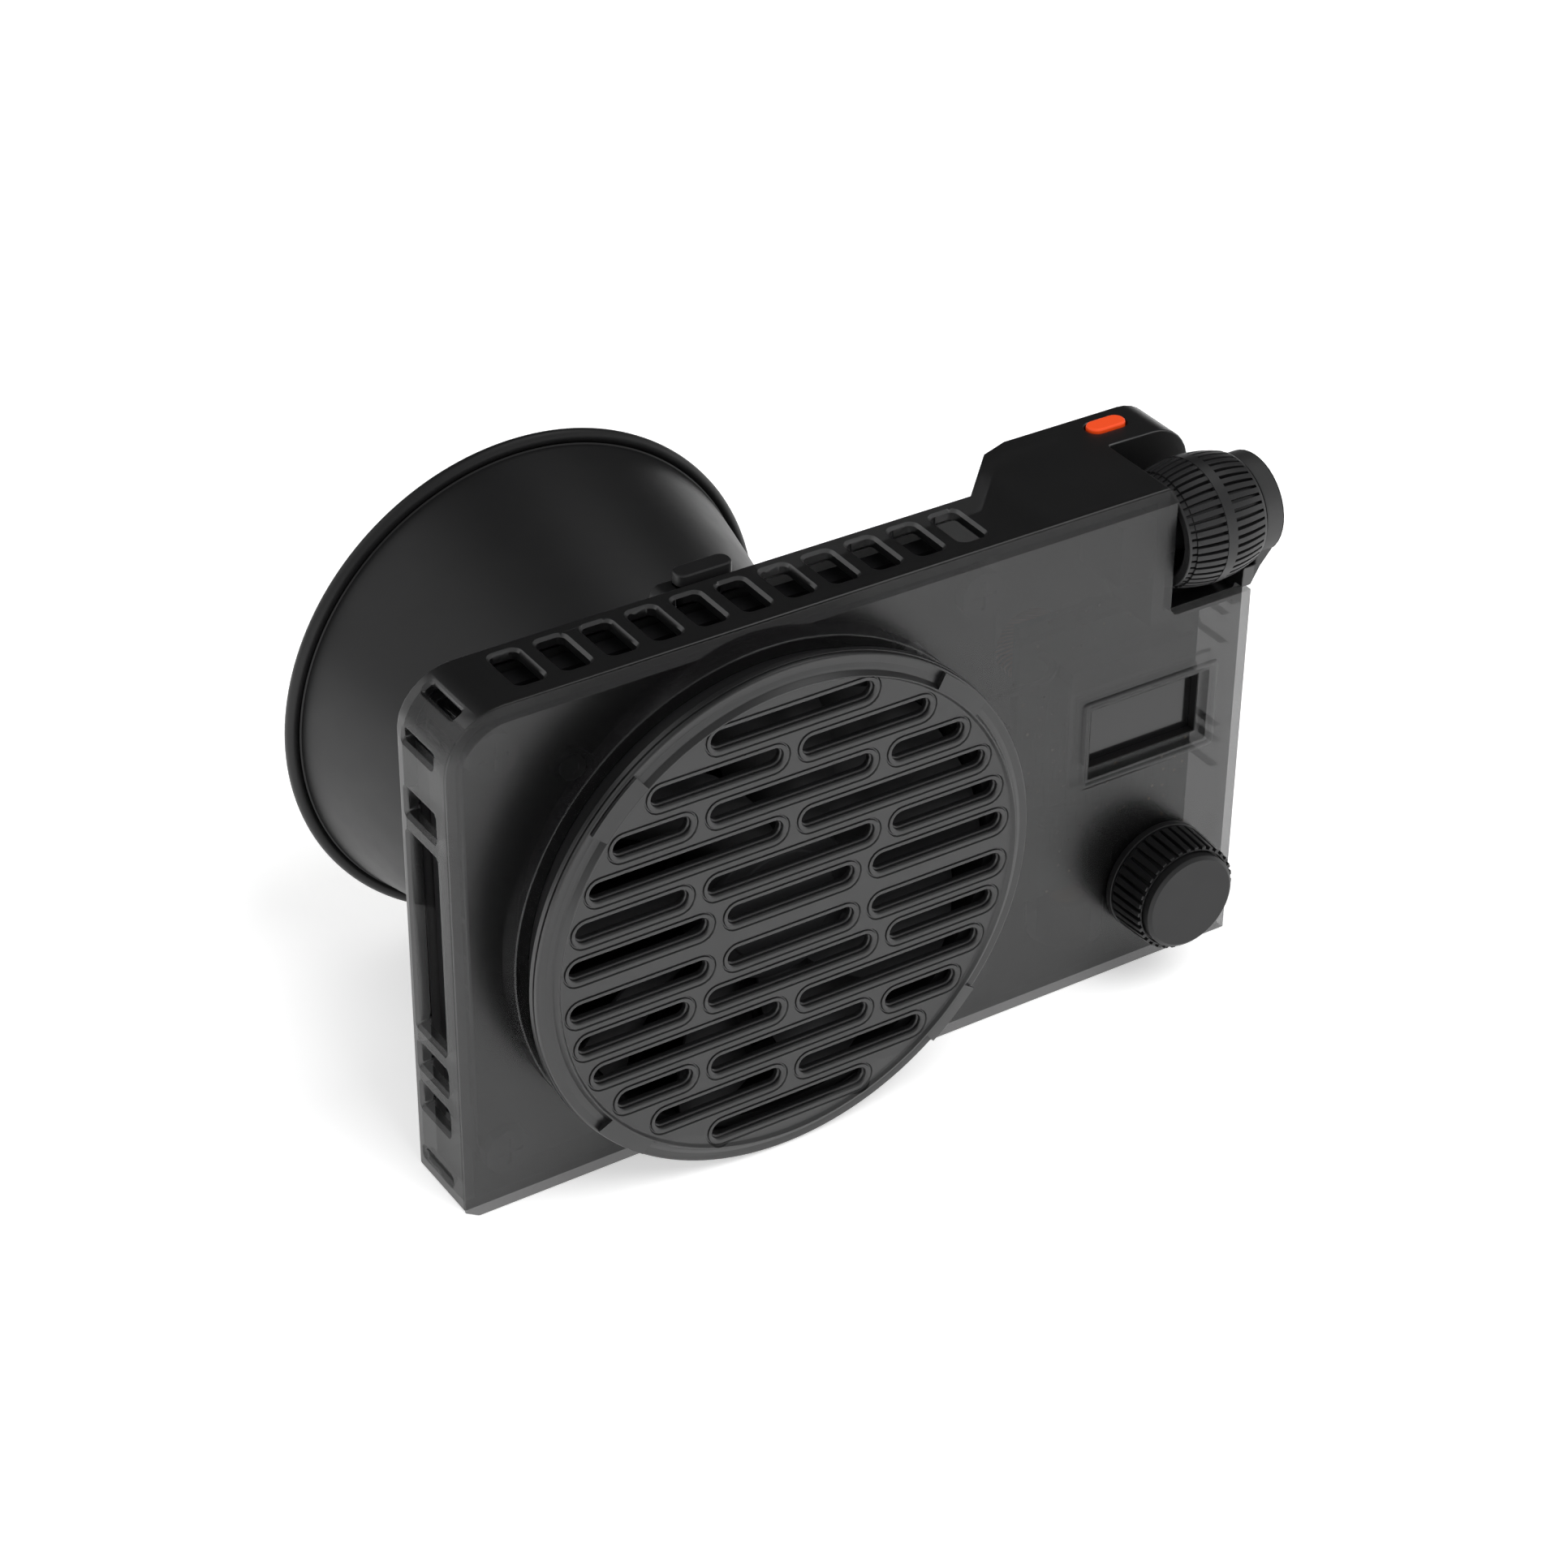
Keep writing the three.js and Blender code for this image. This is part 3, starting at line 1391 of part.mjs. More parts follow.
// Thumbwheel about X: ribs that follow a barrel, and a hollow in its inner end.
function thumbwheel() {
  const wheelRight = wheelLeft + wheelLength;
  const middle = wheelLeft + wheelLength / 2;
  const fall = wheelRadius - wheelEndRadius;
  const barrel = (x) => wheelRadius - fall * ((x - middle) / (wheelLength / 2)) ** 2;
  const stops = [];
  for (let i = 0; i <= barrelSteps; i += 1) {
    stops.push(wheelLeft + wheelLength * i / barrelSteps);
  }
  const profile = [
    [0, wheelLeft], ...stops.map((x) => [barrel(x), x]), [0, wheelRight],
  ];
  const facet = 2 * Math.PI / wheelGrooves;
  const drum = solid(toX(turned(profile, wheelGrooves, facet / 2 - Math.PI / 2)));
  const points = [];
  for (let i = 0; i < wheelGrooves; i += 1) {
    const step = 2 * Math.PI / wheelGrooves;
    const half = step * wheelRibShare / 2;
    const tip = wheelRadius + overrun;
    for (const [radius, angle] of [
      [wheelFloorRadius, i * step - half], [tip, i * step - half],
      [tip, i * step + half], [wheelFloorRadius, i * step + half],
    ]) points.push([radius * Math.cos(angle), radius * Math.sin(angle)]);
  }
  const star = solid(alongX(polygon(points), wheelLeft - overrun, wheelRight + overrun));
  const hollow = solid(toX(ring(
    wheelHubRadius, wheelHollowRadius, wheelLeft - overrun, wheelLeft + wheelHollowDepth,
    middleSteps,
  )));
  const bore = solid(toX(disc(
    axleRadius + runningGap / 2, wheelLeft - overrun, wheelRight + overrun,
  )));
  return cut(drum.intersect(star), [hollow, bore]);
}

function wheelAxle() {
  const start = wellLeft - wellWall - wheelEncoderDepth;
  const end = wheelLeft + wheelLength + earInnerGap + axleInset;
  return solid(toX(disc(axleRadius, start, end)));
}

function wheelBush() {
  return solid(toX(ring(
    axleRadius + runningGap, axleRadius + bushWall, wellLeft - wellWall, wellLeft, smallSteps,
  )));
}

function wheelEncoder() {
  const half = wheelEncoderSize / 2;
  const high = wellLeft - wellWall - seatGap;
  const rearY = coverFront + slipGap - wheelY;
  const block = box(high - wheelEncoderLength, rearY, -half, high, rearY + wheelEncoderSize, half);
  const bore = solid(toX(disc(
    axleRadius + runningGap, high - wheelEncoderDepth - slipGap, high + overrun,
  )));
  return block.subtract(bore);
}

function powerButton() {
  const half = (buttonLength - buttonWidth) / 2;
  const top = bodyHeight + buttonProud;
  const flangeTop = innerTop - seatGap;
  const radius = buttonWidth / 2;
  const body = solid(alongZ(
    stadium(0, 0, half, radius), flangeTop - buttonFlangeThickness / 2, top - buttonEdge,
  ));
  const crown = solid(new THREE.ExtrudeGeometry(stadium(0, 0, half, radius - buttonEdge), {
    depth: buttonEdge,
    bevelThickness: buttonEdge,
    bevelSize: buttonEdge,
    bevelSegments: 2,
    curveSegments: cornerSteps,
  }).translate(0, 0, top - buttonEdge * 2));
  const flange = solid(alongZ(
    stadium(0, 0, half, radius + buttonFlange), flangeTop - buttonFlangeThickness, flangeTop,
  ));
  const stemTop = flangeTop - buttonFlangeThickness / 2;
  const stem = solid(toZ(disc(
    buttonStemRadius, flangeTop - buttonFlangeThickness - buttonStemLength, stemTop,
  )));
  return joined([body, crown, flange, stem]);
}

const switchTop = innerTop - seatGap - buttonFlangeThickness - buttonStemLength
  - buttonTravel - slipGap;

function buttonSwitch() {
  const half = switchWidth / 2;
  const stem = solid(toZ(disc(
    buttonStemRadius, switchTop - switchHeight / 2, switchTop, screwSteps,
  )));
  return box(
    -half, -half, switchTop - switchHeight, half, half, switchTop - buttonStemRadius / 2,
  ).add(stem);
}

function usbSocket() {
  const low = driverFront + seatGap;
  const outer = rounded(
    low, socketZ - socketLength / 2, low + socketThickness, socketZ + socketLength / 2,
    Array(4).fill(socketThickness / 3), ventSteps + 1,
  );
  const inner = rounded(
    low + socketShell, socketZ - socketLength / 2 + socketShell,
    low + socketThickness - socketShell, socketZ + socketLength / 2 - socketShell,
    Array(4).fill(socketThickness / 4), ventSteps + 1,
  );
  const end = right - slipGap;
  const shell = solid(alongX(outer, end - socketDepth, end));
  return shell.subtract(solid(alongX(inner, end - socketCavity, end + overrun)));
}

function usbTongue() {
  const middle = driverFront + seatGap + socketThickness / 2;
  const end = right - slipGap;
  const thin = socketThickness / 8;
  const half = socketLength / 2 - socketShell * 3;
  return box(
    end - socketCavity + seatGap / 2, middle - thin, socketZ - half,
    end - socketShell * 2, middle + thin, socketZ + half,
  );
}

// The assembly
const light = new THREE.Group();
const turret = new THREE.Group();
turret.position.z = axisZ;
const knob = new THREE.Group();
knob.position.set(knobX, 0, knobZ);
const wheel = new THREE.Group();
wheel.position.set(0, wheelY, wheelZ);
light.add(turret, knob, wheel);

light.add(piece('front_case', frontCase(), smoke));
light.add(piece('rear_cover', rearCover(), smoke));

turret.add(piece('grille_retainer', solid(ring(
  fanBore, retainerRadius, capFront + seatGap, baseRingRear - seatGap, ringSteps,
)), black));
turret.add(piece('grille_cap', grilleCap(), smoke));
turret.add(piece('fan_frame', fanFrame(), black));
turret.add(piece('fan_stator', fanStator(), copper));
turret.add(piece('fan_bearing', solid(ring(
  fanShaftRadius + runningGap, bearingRadius, statorRear, fanFront - seatGap, smallSteps,
)), brass));
turret.add(piece('fan_shaft', solid(disc(
  fanShaftRadius, hubRear + fanHubWall / 2 + runningGap, fanFront - seatGap * 3, smallSteps,
)), steel));
turret.add(piece('fan_magnet', solid(ring(
  fanHubRadius - fanHubWall - seatGap / 2 - magnetWall, fanHubRadius - fanHubWall - seatGap / 2,
  hubRear + fanHubWall + slipGap, hubFront - seatGap, middleSteps,
)), darkSteel));
turret.add(piece('fan_rotor', fanRotor(), black));
around(screwCount, fanEarRadius, screwStart).forEach(({ x, z }, i) => turret.add(piece(
  `fan_screw_${i + 1}`,
  socketScrew(fanScrewRadius, fanScrewHead, fanScrewHeadHeight, fanEarThickness + trayThickness),
  steel,
  [x, fanFront - fanEarThickness - seatGap / 2 - fanScrewHeadHeight, z],
)));

light.add(piece('fan_tray', fanTray(), darkSteel));
const corners = [-1, 1].flatMap((sideX) => [-1, 1].map((sideZ) => [sideX, sideZ]));
corners.forEach(([sideX, sideZ], i) => light.add(piece(
  `case_screw_${i + 1}`,
  crossScrew(caseScrewRadius, caseScrewHead, caseScrewHeadHeight - seatGap, caseScrewLength),
  darkSteel,
  [sideX * postOffsetX, trayRear - caseScrewHeadHeight, axisZ + sideZ * postOffsetZ],
)));
light.add(piece('heat_sink', heatSink(), anodised));
light.add(piece('cob_board', cobBoard(), white));
turret.add(piece('led_emitter', solid(disc(
  emitterRadius, boardFront + seatGap / 2, boardFront + seatGap / 2 + emitterHeight, middleSteps,
)), phosphor));
turret.add(piece('led_holder', ledHolder(), white));
turret.add(piece('protective_glass', solid(disc(
  pedestalRadius - glassInset, holderFront + seatGap, holderFront + seatGap + glassThickness,
  middleSteps,
)), glass));
turret.add(piece('lamp_mount_ring', lampMountRing(), black));
around(screwCount, mountScrewCircle, screwStart).forEach(({ x, z }, i) => {
  const screw = socketScrew(
    mountScrewRadius, mountScrewHead, mountScrewHeadHeight,
    mountFront - mountScrewHeadHeight - sinkFront + mountScrewBite,
  );
  const mesh = piece(`mount_screw_${i + 1}`, screw, steel, [x, mountFront, z]);
  mesh.rotation.x = Math.PI;
  turret.add(mesh);
});
turret.add(piece('mount_latch', mountLatch(), black));
turret.add(piece('latch_spring', latchSpring(), steel));
turret.add(piece('reflector', reflector(), satin));

const windowInset = displayBevel + displayStep - windowLap;
light.add(piece('display_window', box(
  displayLeft + windowInset, windowRear + seatGap, displayLow + windowInset,
  displayLeft + displayWidth - windowInset, windowRear + seatGap + windowThickness,
  displayLow + displayHeight - windowInset,
), glass));
const panelRear = windowRear + 2 * seatGap + windowThickness;
const panelBoardFront = panelRear + panelThickness + panelBoardThickness;
light.add(piece('display_module', box(
  displayLeft + panelBoardLip, panelRear, displayLow + panelBoardLip,
  displayLeft + displayWidth - panelBoardLip, panelRear + panelThickness * 2,
  displayLow + displayHeight - panelBoardLip,
).add(box(
  displayLeft, panelRear + panelThickness, displayLow - panelBoardLip,
  displayLeft + displayWidth, panelBoardFront, displayLow + displayHeight + panelTail,
)), black));
const headerLeft = displayLeft + (displayWidth - headerWidth) / 2;
const headerLow = displayLow + displayHeight + panelBoardLip / 2;
light.add(piece('display_header', box(
  headerLeft, panelBoardFront + seatGap, headerLow,
  headerLeft + headerWidth, controlRear - seatGap, headerLow + headerHeight,
), black));
light.add(piece('control_board', box(
  controlBoardLeft, controlRear, controlBoardLow,
  innerRight - slipGap, controlFront, controlBoardHigh,
), circuit));

knob.add(piece('encoder_body', encoderBody(), darkSteel));
knob.add(piece('encoder_plunger', encoderPlunger(), black));
knob.add(piece('knob_shaft', solid(disc(
  knobShaftRadius, knobRear + knobShaftInset + seatGap, plungerRear - seatGap,
)), steel));
knob.add(piece('control_knob', controlKnob(), black));
knob.add(piece('knob_cap', knobCap(), rubber));

wheel.add(piece('thumbwheel', thumbwheel(), rubber));
wheel.add(piece('wheel_axle', wheelAxle(), steel));
wheel.add(piece('wheel_bush', wheelBush(), brass));
wheel.add(piece('wheel_encoder', wheelEncoder(), black));

const buttonAt = [buttonX, buttonY, 0];
light.add(piece('power_button', powerButton(), orange, buttonAt));
light.add(piece('button_switch', buttonSwitch(), black, buttonAt));
const switchFoot = switchTop - switchHeight;
light.add(piece('button_board', box(
  -switchBoardLength / 2, wheelY + wellRadius + wellWall + switchBoardGap - buttonY,
  switchFoot - circuitThickness,
  switchBoardLength / 2, switchWidth / 2, switchFoot - seatGap,
), circuit, buttonAt));

light.add(piece('driver_board', box(
  driverBoardLeft, driverRear, driverBoardLow, innerRight - slipGap, driverFront, driverBoardHigh,
), circuit));
light.add(piece('inductor', solid(ring(
  inductorRadius / 2, inductorRadius, driverFront + seatGap,
  driverFront + seatGap + headroom - inductorHeadroom, smallSteps,
)), copper, [inductorX, 0, inductorZ]));
[0, 1].forEach((i) => light.add(piece(
  `capacitor_${i + 1}`,
  solid(disc(
    capacitorRadius, driverFront + seatGap, driverFront + seatGap + headroom - capacitorHeadroom,
  )),
  darkSteel,
  [capacitorX, 0, capacitorLowZ + i * capacitorPitch],
)));
light.add(piece('transformer', box(
  transformerX, driverFront + seatGap, transformerZ,
  transformerX + transformerWidth, driverFront + seatGap + headroom - transformerHeadroom,
  transformerZ + transformerHeight,
), black));
light.add(piece('usb_socket', usbSocket(), steel));
light.add(piece('usb_tongue', usbTongue(), black));
light.add(piece('tripod_insert', solid(toZ(ring(
  tripodBore, tripodRadius, floorClearance, tripodDepth - seatGap, postSteps,
))), brass, [tripodX, tripodY, 0]));

const fanLeadY = (coverFront + trayRear) / 2;
const leadTurn = boardSpacing / 2;
light.add(piece('fan_lead', lead([
  [fanBore + fanLeadRadius * 2, fanLeadY, fanLeadZ],
  [controlBoardLeft - leadTurn * 2, fanLeadY, fanLeadZ],
  [controlBoardLeft, fanLeadY, fanLeadZ],
  [controlBoardLeft + leadTurn * 2, (fanLeadY + controlRear) / 2, fanLeadZ],
  [controlBoardLeft + leadTurn * 2, controlRear - seatGap, fanLeadZ],
], fanLeadRadius), rubber));
const ledLeadY = sinkFront - leadChannel / 2;
light.add(piece('led_lead', lead([
  [driverBoardLeft + leadTurn * 2, driverRear - seatGap, axisZ],
  [driverBoardLeft + leadTurn * 2, driverRear - ledLeadRadius, axisZ],
  [driverBoardLeft + leadTurn, (controlFront + driverRear) / 2, axisZ],
  [controlBoardLeft - leadTurn, (controlFront + driverRear) / 2, axisZ],
  [finOuterRadius, ledLeadY, axisZ],
  [ledLeadX + leadTurn * 3, ledLeadY, axisZ],
], ledLeadRadius), rubber));

export default light;
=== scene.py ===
# The looks of a compact LED continuous light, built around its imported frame.
import functools
import math

import bmesh
import bpy
from bpy.props import FloatProperty, FloatVectorProperty, IntProperty, PointerProperty
from bpy.types import Operator, Panel, PropertyGroup
from mathutils import Matrix, Vector


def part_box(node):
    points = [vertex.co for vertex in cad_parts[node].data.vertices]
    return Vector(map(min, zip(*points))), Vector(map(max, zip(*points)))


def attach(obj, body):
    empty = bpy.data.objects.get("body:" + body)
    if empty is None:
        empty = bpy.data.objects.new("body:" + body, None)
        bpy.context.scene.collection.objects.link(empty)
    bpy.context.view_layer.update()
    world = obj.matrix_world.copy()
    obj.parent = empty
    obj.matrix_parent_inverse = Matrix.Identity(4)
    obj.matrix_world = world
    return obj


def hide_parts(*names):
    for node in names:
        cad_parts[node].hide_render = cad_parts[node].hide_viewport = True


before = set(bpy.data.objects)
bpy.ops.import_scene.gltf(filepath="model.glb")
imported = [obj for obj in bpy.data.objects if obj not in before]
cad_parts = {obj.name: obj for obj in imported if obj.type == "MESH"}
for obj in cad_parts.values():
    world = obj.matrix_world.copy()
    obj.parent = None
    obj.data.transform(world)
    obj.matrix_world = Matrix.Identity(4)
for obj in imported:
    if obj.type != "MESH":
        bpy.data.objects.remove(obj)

bl_info = {
    "name": "LED Continuous Light",
    "version": (1, 0, 0),
    "blender": (4, 5, 0),
    "location": "View3D > Sidebar > Light",
    "description": "Dresses the frame of a compact LED continuous light",
    "category": "Object",
}

MM = 0.001
MERGE_GAP = 0.002 * MM
FLAT_ANGLE = math.radians(0.4)
FULL_TURN = 2 * math.pi
REACH = 3 * MM
WALL = 2 * MM
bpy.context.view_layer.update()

COVER_LOW, COVER_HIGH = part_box("rear_cover")
CAP_LOW, CAP_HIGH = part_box("grille_cap")
KNOB_LOW, KNOB_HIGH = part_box("control_knob")
WHEEL_LOW, WHEEL_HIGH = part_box("thumbwheel")
BUSH_LOW, BUSH_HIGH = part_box("wheel_bush")
MOUNT_LOW, MOUNT_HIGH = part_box("lamp_mount_ring")
OPTICAL_AXIS = ((CAP_LOW.x + CAP_HIGH.x) / 2, (CAP_LOW.z + CAP_HIGH.z) / 2)
KNOB_AXIS = ((KNOB_LOW.x + KNOB_HIGH.x) / 2, (KNOB_LOW.z + KNOB_HIGH.z) / 2)
WHEEL_AXIS = ((BUSH_LOW.y + BUSH_HIGH.y) / 2, (BUSH_LOW.z + BUSH_HIGH.z) / 2)
WELL_DEPTH = 12.5 * MM
WELL_LEFT = BUSH_HIGH.x
WELL_LOW = WHEEL_AXIS[1] - WELL_DEPTH
COVER_REAR = -8.7 * MM
GRIP_LEFT = 55 * MM


def length(name, description, default):
    return FloatProperty(name=name, description=description, default=default, unit="LENGTH",
                         precision=5)


def colour(name, description, default):
    return FloatVectorProperty(name=name, description=description, default=default, size=3,
                               subtype="COLOR", min=0, max=1)


def share(name, description, default):
    return FloatProperty(name=name, description=description, default=default, min=0, max=1,
                         subtype="FACTOR")


class LightSizes(PropertyGroup):
    """Sizes of the light's visible details."""
    wall: length("Case wall", "Thickness of the case and the cover", WALL)
    edge: length("Case edge", "Rounding of the case's sharp edges", 0.3 * MM)
    cover_chamfer: length("Cover chamfer", "Chamfer of the cover's left and top edges", 1.5 * MM)
    corner_left: length("Left corner", "Radius of the top left corner", 10 * MM)
    frame_width: length("Display frame", "Width of the display's raised frame", 1.3 * MM)
    frame_rise: length("Display frame height", "Height of the display's raised frame", 0.36 * MM)
    vent_count: IntProperty(name="Vents", description="Vents in the top wall", default=11, min=1)
    vent_pitch: length("Vent pitch", "Distance from one vent to the next", 8 * MM)
    vent_first: length("First vent", "From the left wall to the middle of the first vent", 17.3 * MM)
    vent_width: length("Vent width", "Width of a vent at its mouth", 6 * MM)
    vent_bevel: length("Vent bevel", "Bevel round the mouth of a top vent", 0.5 * MM)
    side_bevel: length("Side bevel", "Bevel round the mouth of a side vent", 0.6 * MM)
    vent_round: length("Vent corner", "Corner radius of a vent's opening", 1.2 * MM)
    vent_rear: length("Vent rear", "From the back of the case to a vent's mouth", 5.3 * MM)
    vent_front: length("Vent front", "From a vent's mouth to the front of the case", 1.6 * MM)
    slot_width: length("Slot width", "Width of a grille slot", 4.2 * MM)
    slot_round: length("Slot edge", "Rounding of a grille slot's edge", 0.5 * MM)
    slot_lip: length("Slot lip", "Width of the lip round a grille slot", 0.35 * MM)
    slot_line: length("Slot groove", "Width of the groove round a grille slot", 0.42 * MM)
    slot_narrow: length("Slot ledge", "How far a slot's edge reaches into it", 0.45 * MM)
    slot_rows: length("Slot row pitch", "Distance from one row of slots to the next", 6.6 * MM)
    slot_circle: length("Slot circle", "Radius of the circle on which the rows end", 38.4 * MM)
    knob_ribs: IntProperty(name="Knob ribs", description="Ribs round the knob", default=36, min=6)
    knob_rib: length("Knob rib", "Width of a rib on the knob", 1.3 * MM)
    wheel_ribs: IntProperty(name="Wheel ribs", description="Ribs round the thumbwheel", default=45,
                            min=6)
    wheel_rib: length("Wheel rib", "Width of a rib on the thumbwheel", 0.92 * MM)
    wheel_step: length("Wheel step", "Length of the low step at a rib's left end", 0.85 * MM)
    wheel_groove: length("Wheel groove", "Depth of the grooves of the thumbwheel", 0.95 * MM)
    blades: IntProperty(name="Blades", description="Blades of the fan", default=9, min=3)
    bead: length("Bead", "Radius of the reflector's rolled bead", 1.3 * MM)
    reflector_wall: length("Reflector wall", "Thickness of the reflector", 1.3 * MM)


class LightColours(PropertyGroup):
    """Colours of the light's finishes."""
    smoke: colour("Smoke", "Translucent case", (0.005, 0.005, 0.0053))
    smoke_density: share("Smoke density", "How much one face of the case hides", 0.54)
    cap_density: share("Grille density", "How much one face of the grille hides", 0.86)
    front_density: share("Front density", "How much one face of the front wall hides", 0.9)
    lid_density: share("Lid density", "How much one face of the top wall hides", 0.9)
    grip_density: share("Grip density", "How much one face of the grip's top hides", 0.99)
    black: colour("Black", "Moulded black parts", (0.006, 0.006, 0.0063))
    rubber: colour("Rubber", "Soft black parts", (0.011, 0.011, 0.0115))
    orange: colour("Orange", "Power button", (0.92, 0.075, 0.008))
    circuit: colour("Circuit", "Circuit boards", (0.008, 0.016, 0.011))
    silver: colour("Silver", "Inside of the reflector", (0.82, 0.82, 0.8))
    paper: colour("Floor", "Floor and backdrop", (0.86, 0.86, 0.86))


# Shader maths


class Signal:
    """A socket's output; arithmetic on it adds Math nodes."""

    def __init__(self, finish, socket):
        self.finish = finish
        self.socket = socket

    def _math(self, operation, first, second):
        return self.finish.node("ShaderNodeMath", {"operation": operation}, {0: first, 1: second})

    def __add__(self, other):
        return self._math("ADD", self, other)

    def __radd__(self, other):
        return self._math("ADD", other, self)

    def __sub__(self, other):
        return self._math("SUBTRACT", self, other)

    def __rsub__(self, other):
        return self._math("SUBTRACT", other, self)

    def __mul__(self, other):
        return self._math("MULTIPLY", self, other)

    def __rmul__(self, other):
        return self._math("MULTIPLY", other, self)

    def larger(self, other):
        return self._math("MAXIMUM", self, other)


class Finish:
    """A procedural material or world under construction."""

    def __init__(self, name, world=False):
        kind = bpy.data.worlds if world else bpy.data.materials
        self.owner = kind.new(name)
        self.owner.use_nodes = True
        self.tree = self.owner.node_tree
        self.shader = next(node for node in self.tree.nodes if "Output" not in node.bl_idname)

    def node(self, kind, settings=None, inputs=None, output=0):
        made = self.tree.nodes.new(kind)
        for key, value in (settings or {}).items():
            setattr(made, key, value)
        for key, value in (inputs or {}).items():
            self.feed(made.inputs[key], value)
        return Signal(self, made.outputs[output])

    def feed(self, socket, value):
        if isinstance(value, Signal):
            self.tree.links.new(value.socket, socket)
        elif hasattr(value, "__len__") and len(value) == 3 and len(socket.default_value) == 4:
            socket.default_value = (*value, 1)
        else:
            socket.default_value = value

    def surface(self, values):
        for key, value in values.items():
            self.feed(self.shader.inputs[key], value)
        return self.owner

    def place(self):
        return self.node("ShaderNodeTexCoord", output="Object")

    def part(self, axis):
        return self.node("ShaderNodeSeparateXYZ", inputs={0: self.place()}, output=axis)

    def noise(self, size, detail=2.0, stretch=(1, 1, 1)):
        """Noise from 0 to 1 with grains of a size in metres."""
        place = self.node("ShaderNodeMapping", inputs={0: self.place(), "Scale": stretch})
        return self.node("ShaderNodeTexNoise", {"noise_dimensions": "3D"},
                         {"Vector": place, "Scale": 1 / size, "Detail": detail}, "Fac")

    def cells(self, size, randomness=0.0):
        """Distance from the middle of square cells with a size in metres."""
        return self.node("ShaderNodeTexVoronoi", {"distance": "CHEBYCHEV", "feature": "F1"},
                         {"Vector": self.place(), "Scale": 1 / size, "Randomness": randomness})

    def rays(self, *kinds):
        """1 for the rays of these kinds, such as Camera or Glossy, and 0 for others."""
        paths = [self.node("ShaderNodeLightPath", output=f"Is {kind} Ray") for kind in kinds]
        return functools.reduce(Signal.larger, paths)

    def ramp(self, value, low, high, to_low=0.0, to_high=1.0):
        return self.node("ShaderNodeMapRange", {"clamp": True},
                         {0: value, 1: low, 2: high, 3: to_low, 4: to_high})

    def mix(self, factor, first, second):
        """A mix of two colours."""
        return self.node("ShaderNodeMix", {"data_type": "RGBA"},
                         {0: factor, 6: first, 7: second}, 2)

    def bump(self, height, depth):
        return self.node("ShaderNodeBump",
                         inputs={"Height": height, "Distance": depth, "Strength": 1.0})


# Finishes

CLOUD_SIZE = 9 * MM
GLOSS_SIZE = 5 * MM
SMOKE_IOR = 1.86
CAP_IOR = 1.72
SMOKE_CLOUD_SIZE = 14 * MM
SMOKE_DRIFT = 0.05


def tinted(tone, factor):
    return tuple(min(1, channel * factor) for channel in tone)


def moulded(name, tone, rough, grain=0.25 * MM, depth=0.002 * MM, spread=0.12, wear=0.1,
            specular=0.5, metallic=0.0):
    """A finish with clouds in its colour, uneven gloss and, with a depth, a fine grain."""
    finish = Finish(name)
    clouds = finish.noise(CLOUD_SIZE, 3)
    surface = {
        "Base Color": finish.mix(clouds, tinted(tone, 1 - spread), tinted(tone, 1 + spread)),
        "Roughness": rough + (finish.noise(GLOSS_SIZE, 3) - 0.5) * wear,
        "Specular IOR Level": specular,
        "Metallic": metallic,
    }
    if depth:
        surface["Normal"] = finish.bump(finish.noise(grain, 1), depth)
    return finish, surface


def plain_finish(name, tone, rough, **values):
    finish, surface = moulded(name, tone, rough, **values)
    return finish.surface(surface)


def smoke_finish(name, tone, density, bend=SMOKE_IOR):
    """Smoky translucent plastic, smooth and satin, and how much it hides."""
    finish, surface = moulded(name, tone, 0.33, depth=0, wear=0.05)
    surface["IOR"] = bend
    clouds = finish.noise(SMOKE_CLOUD_SIZE, 2) * SMOKE_DRIFT
    return finish, surface, clouds + (density - SMOKE_DRIFT / 2)


def thin_smoke(name, tone, density, bend=SMOKE_IOR):
    """Smoky plastic that hides alike all over."""
    finish, surface, clouds = smoke_finish(name, tone, density, bend)
    return finish.surface({**surface, "Alpha": clouds})


def case_smoke(name, colours):
    """Smoky plastic that hides more in front, on top, round the grip and in the ear."""
    finish, surface, density = smoke_finish(name, colours.smoke, colours.smoke_density)
    x, y, z = (finish.part(axis) for axis in "XYZ")
    soft = 0.3 * MM
    inner_front = -COVER_REAR - WALL
    inner_top = COVER_HIGH.z - WALL
    grip_fade = 4 * MM
    well_side = WELL_LEFT - 3 * MM
    well_side_fade = 0.4 * MM
    well_foot = WELL_LOW - 4 * MM
    well_foot_fade = 1 * MM
    ear_roughness = 0.3
    front = finish.ramp(y, inner_front - soft, inner_front)
    top = finish.ramp(z, inner_top - soft, inner_top)
    grip = top * finish.ramp(x, GRIP_LEFT, GRIP_LEFT + grip_fade)
    ear = finish.ramp(x, COVER_HIGH.x + soft / 2, COVER_HIGH.x + soft)
    well = (finish.ramp(x, well_side, well_side + well_side_fade)
            * finish.ramp(z, well_foot, well_foot + well_foot_fade))
    floor = finish.ramp(z, WALL, WALL + soft, 1.0, 0.0)
    surface["Roughness"] = surface["Roughness"] + ear * ear_roughness
    for zone, target in ((front.larger(floor), colours.front_density), (top, colours.lid_density),
                         (grip.larger(ear).larger(well), colours.grip_density)):
        density = density + zone * (target - density)
    return finish.surface({**surface, "Alpha": density})


def brushed_finish(name, tone, rough, stretch):
    """Metal with fine lines drawn along one direction."""
    finish = Finish(name)
    lines = finish.noise(0.12 * MM, 2, stretch)
    spots = finish.noise(2.2 * MM, 3)
    return finish.surface({
        "Base Color": finish.mix(spots, tinted(tone, 0.82), tone),
        "Metallic": 1.0,
        "Roughness": rough + lines * 0.14,
        "Normal": finish.bump(lines, 0.003 * MM),
    })


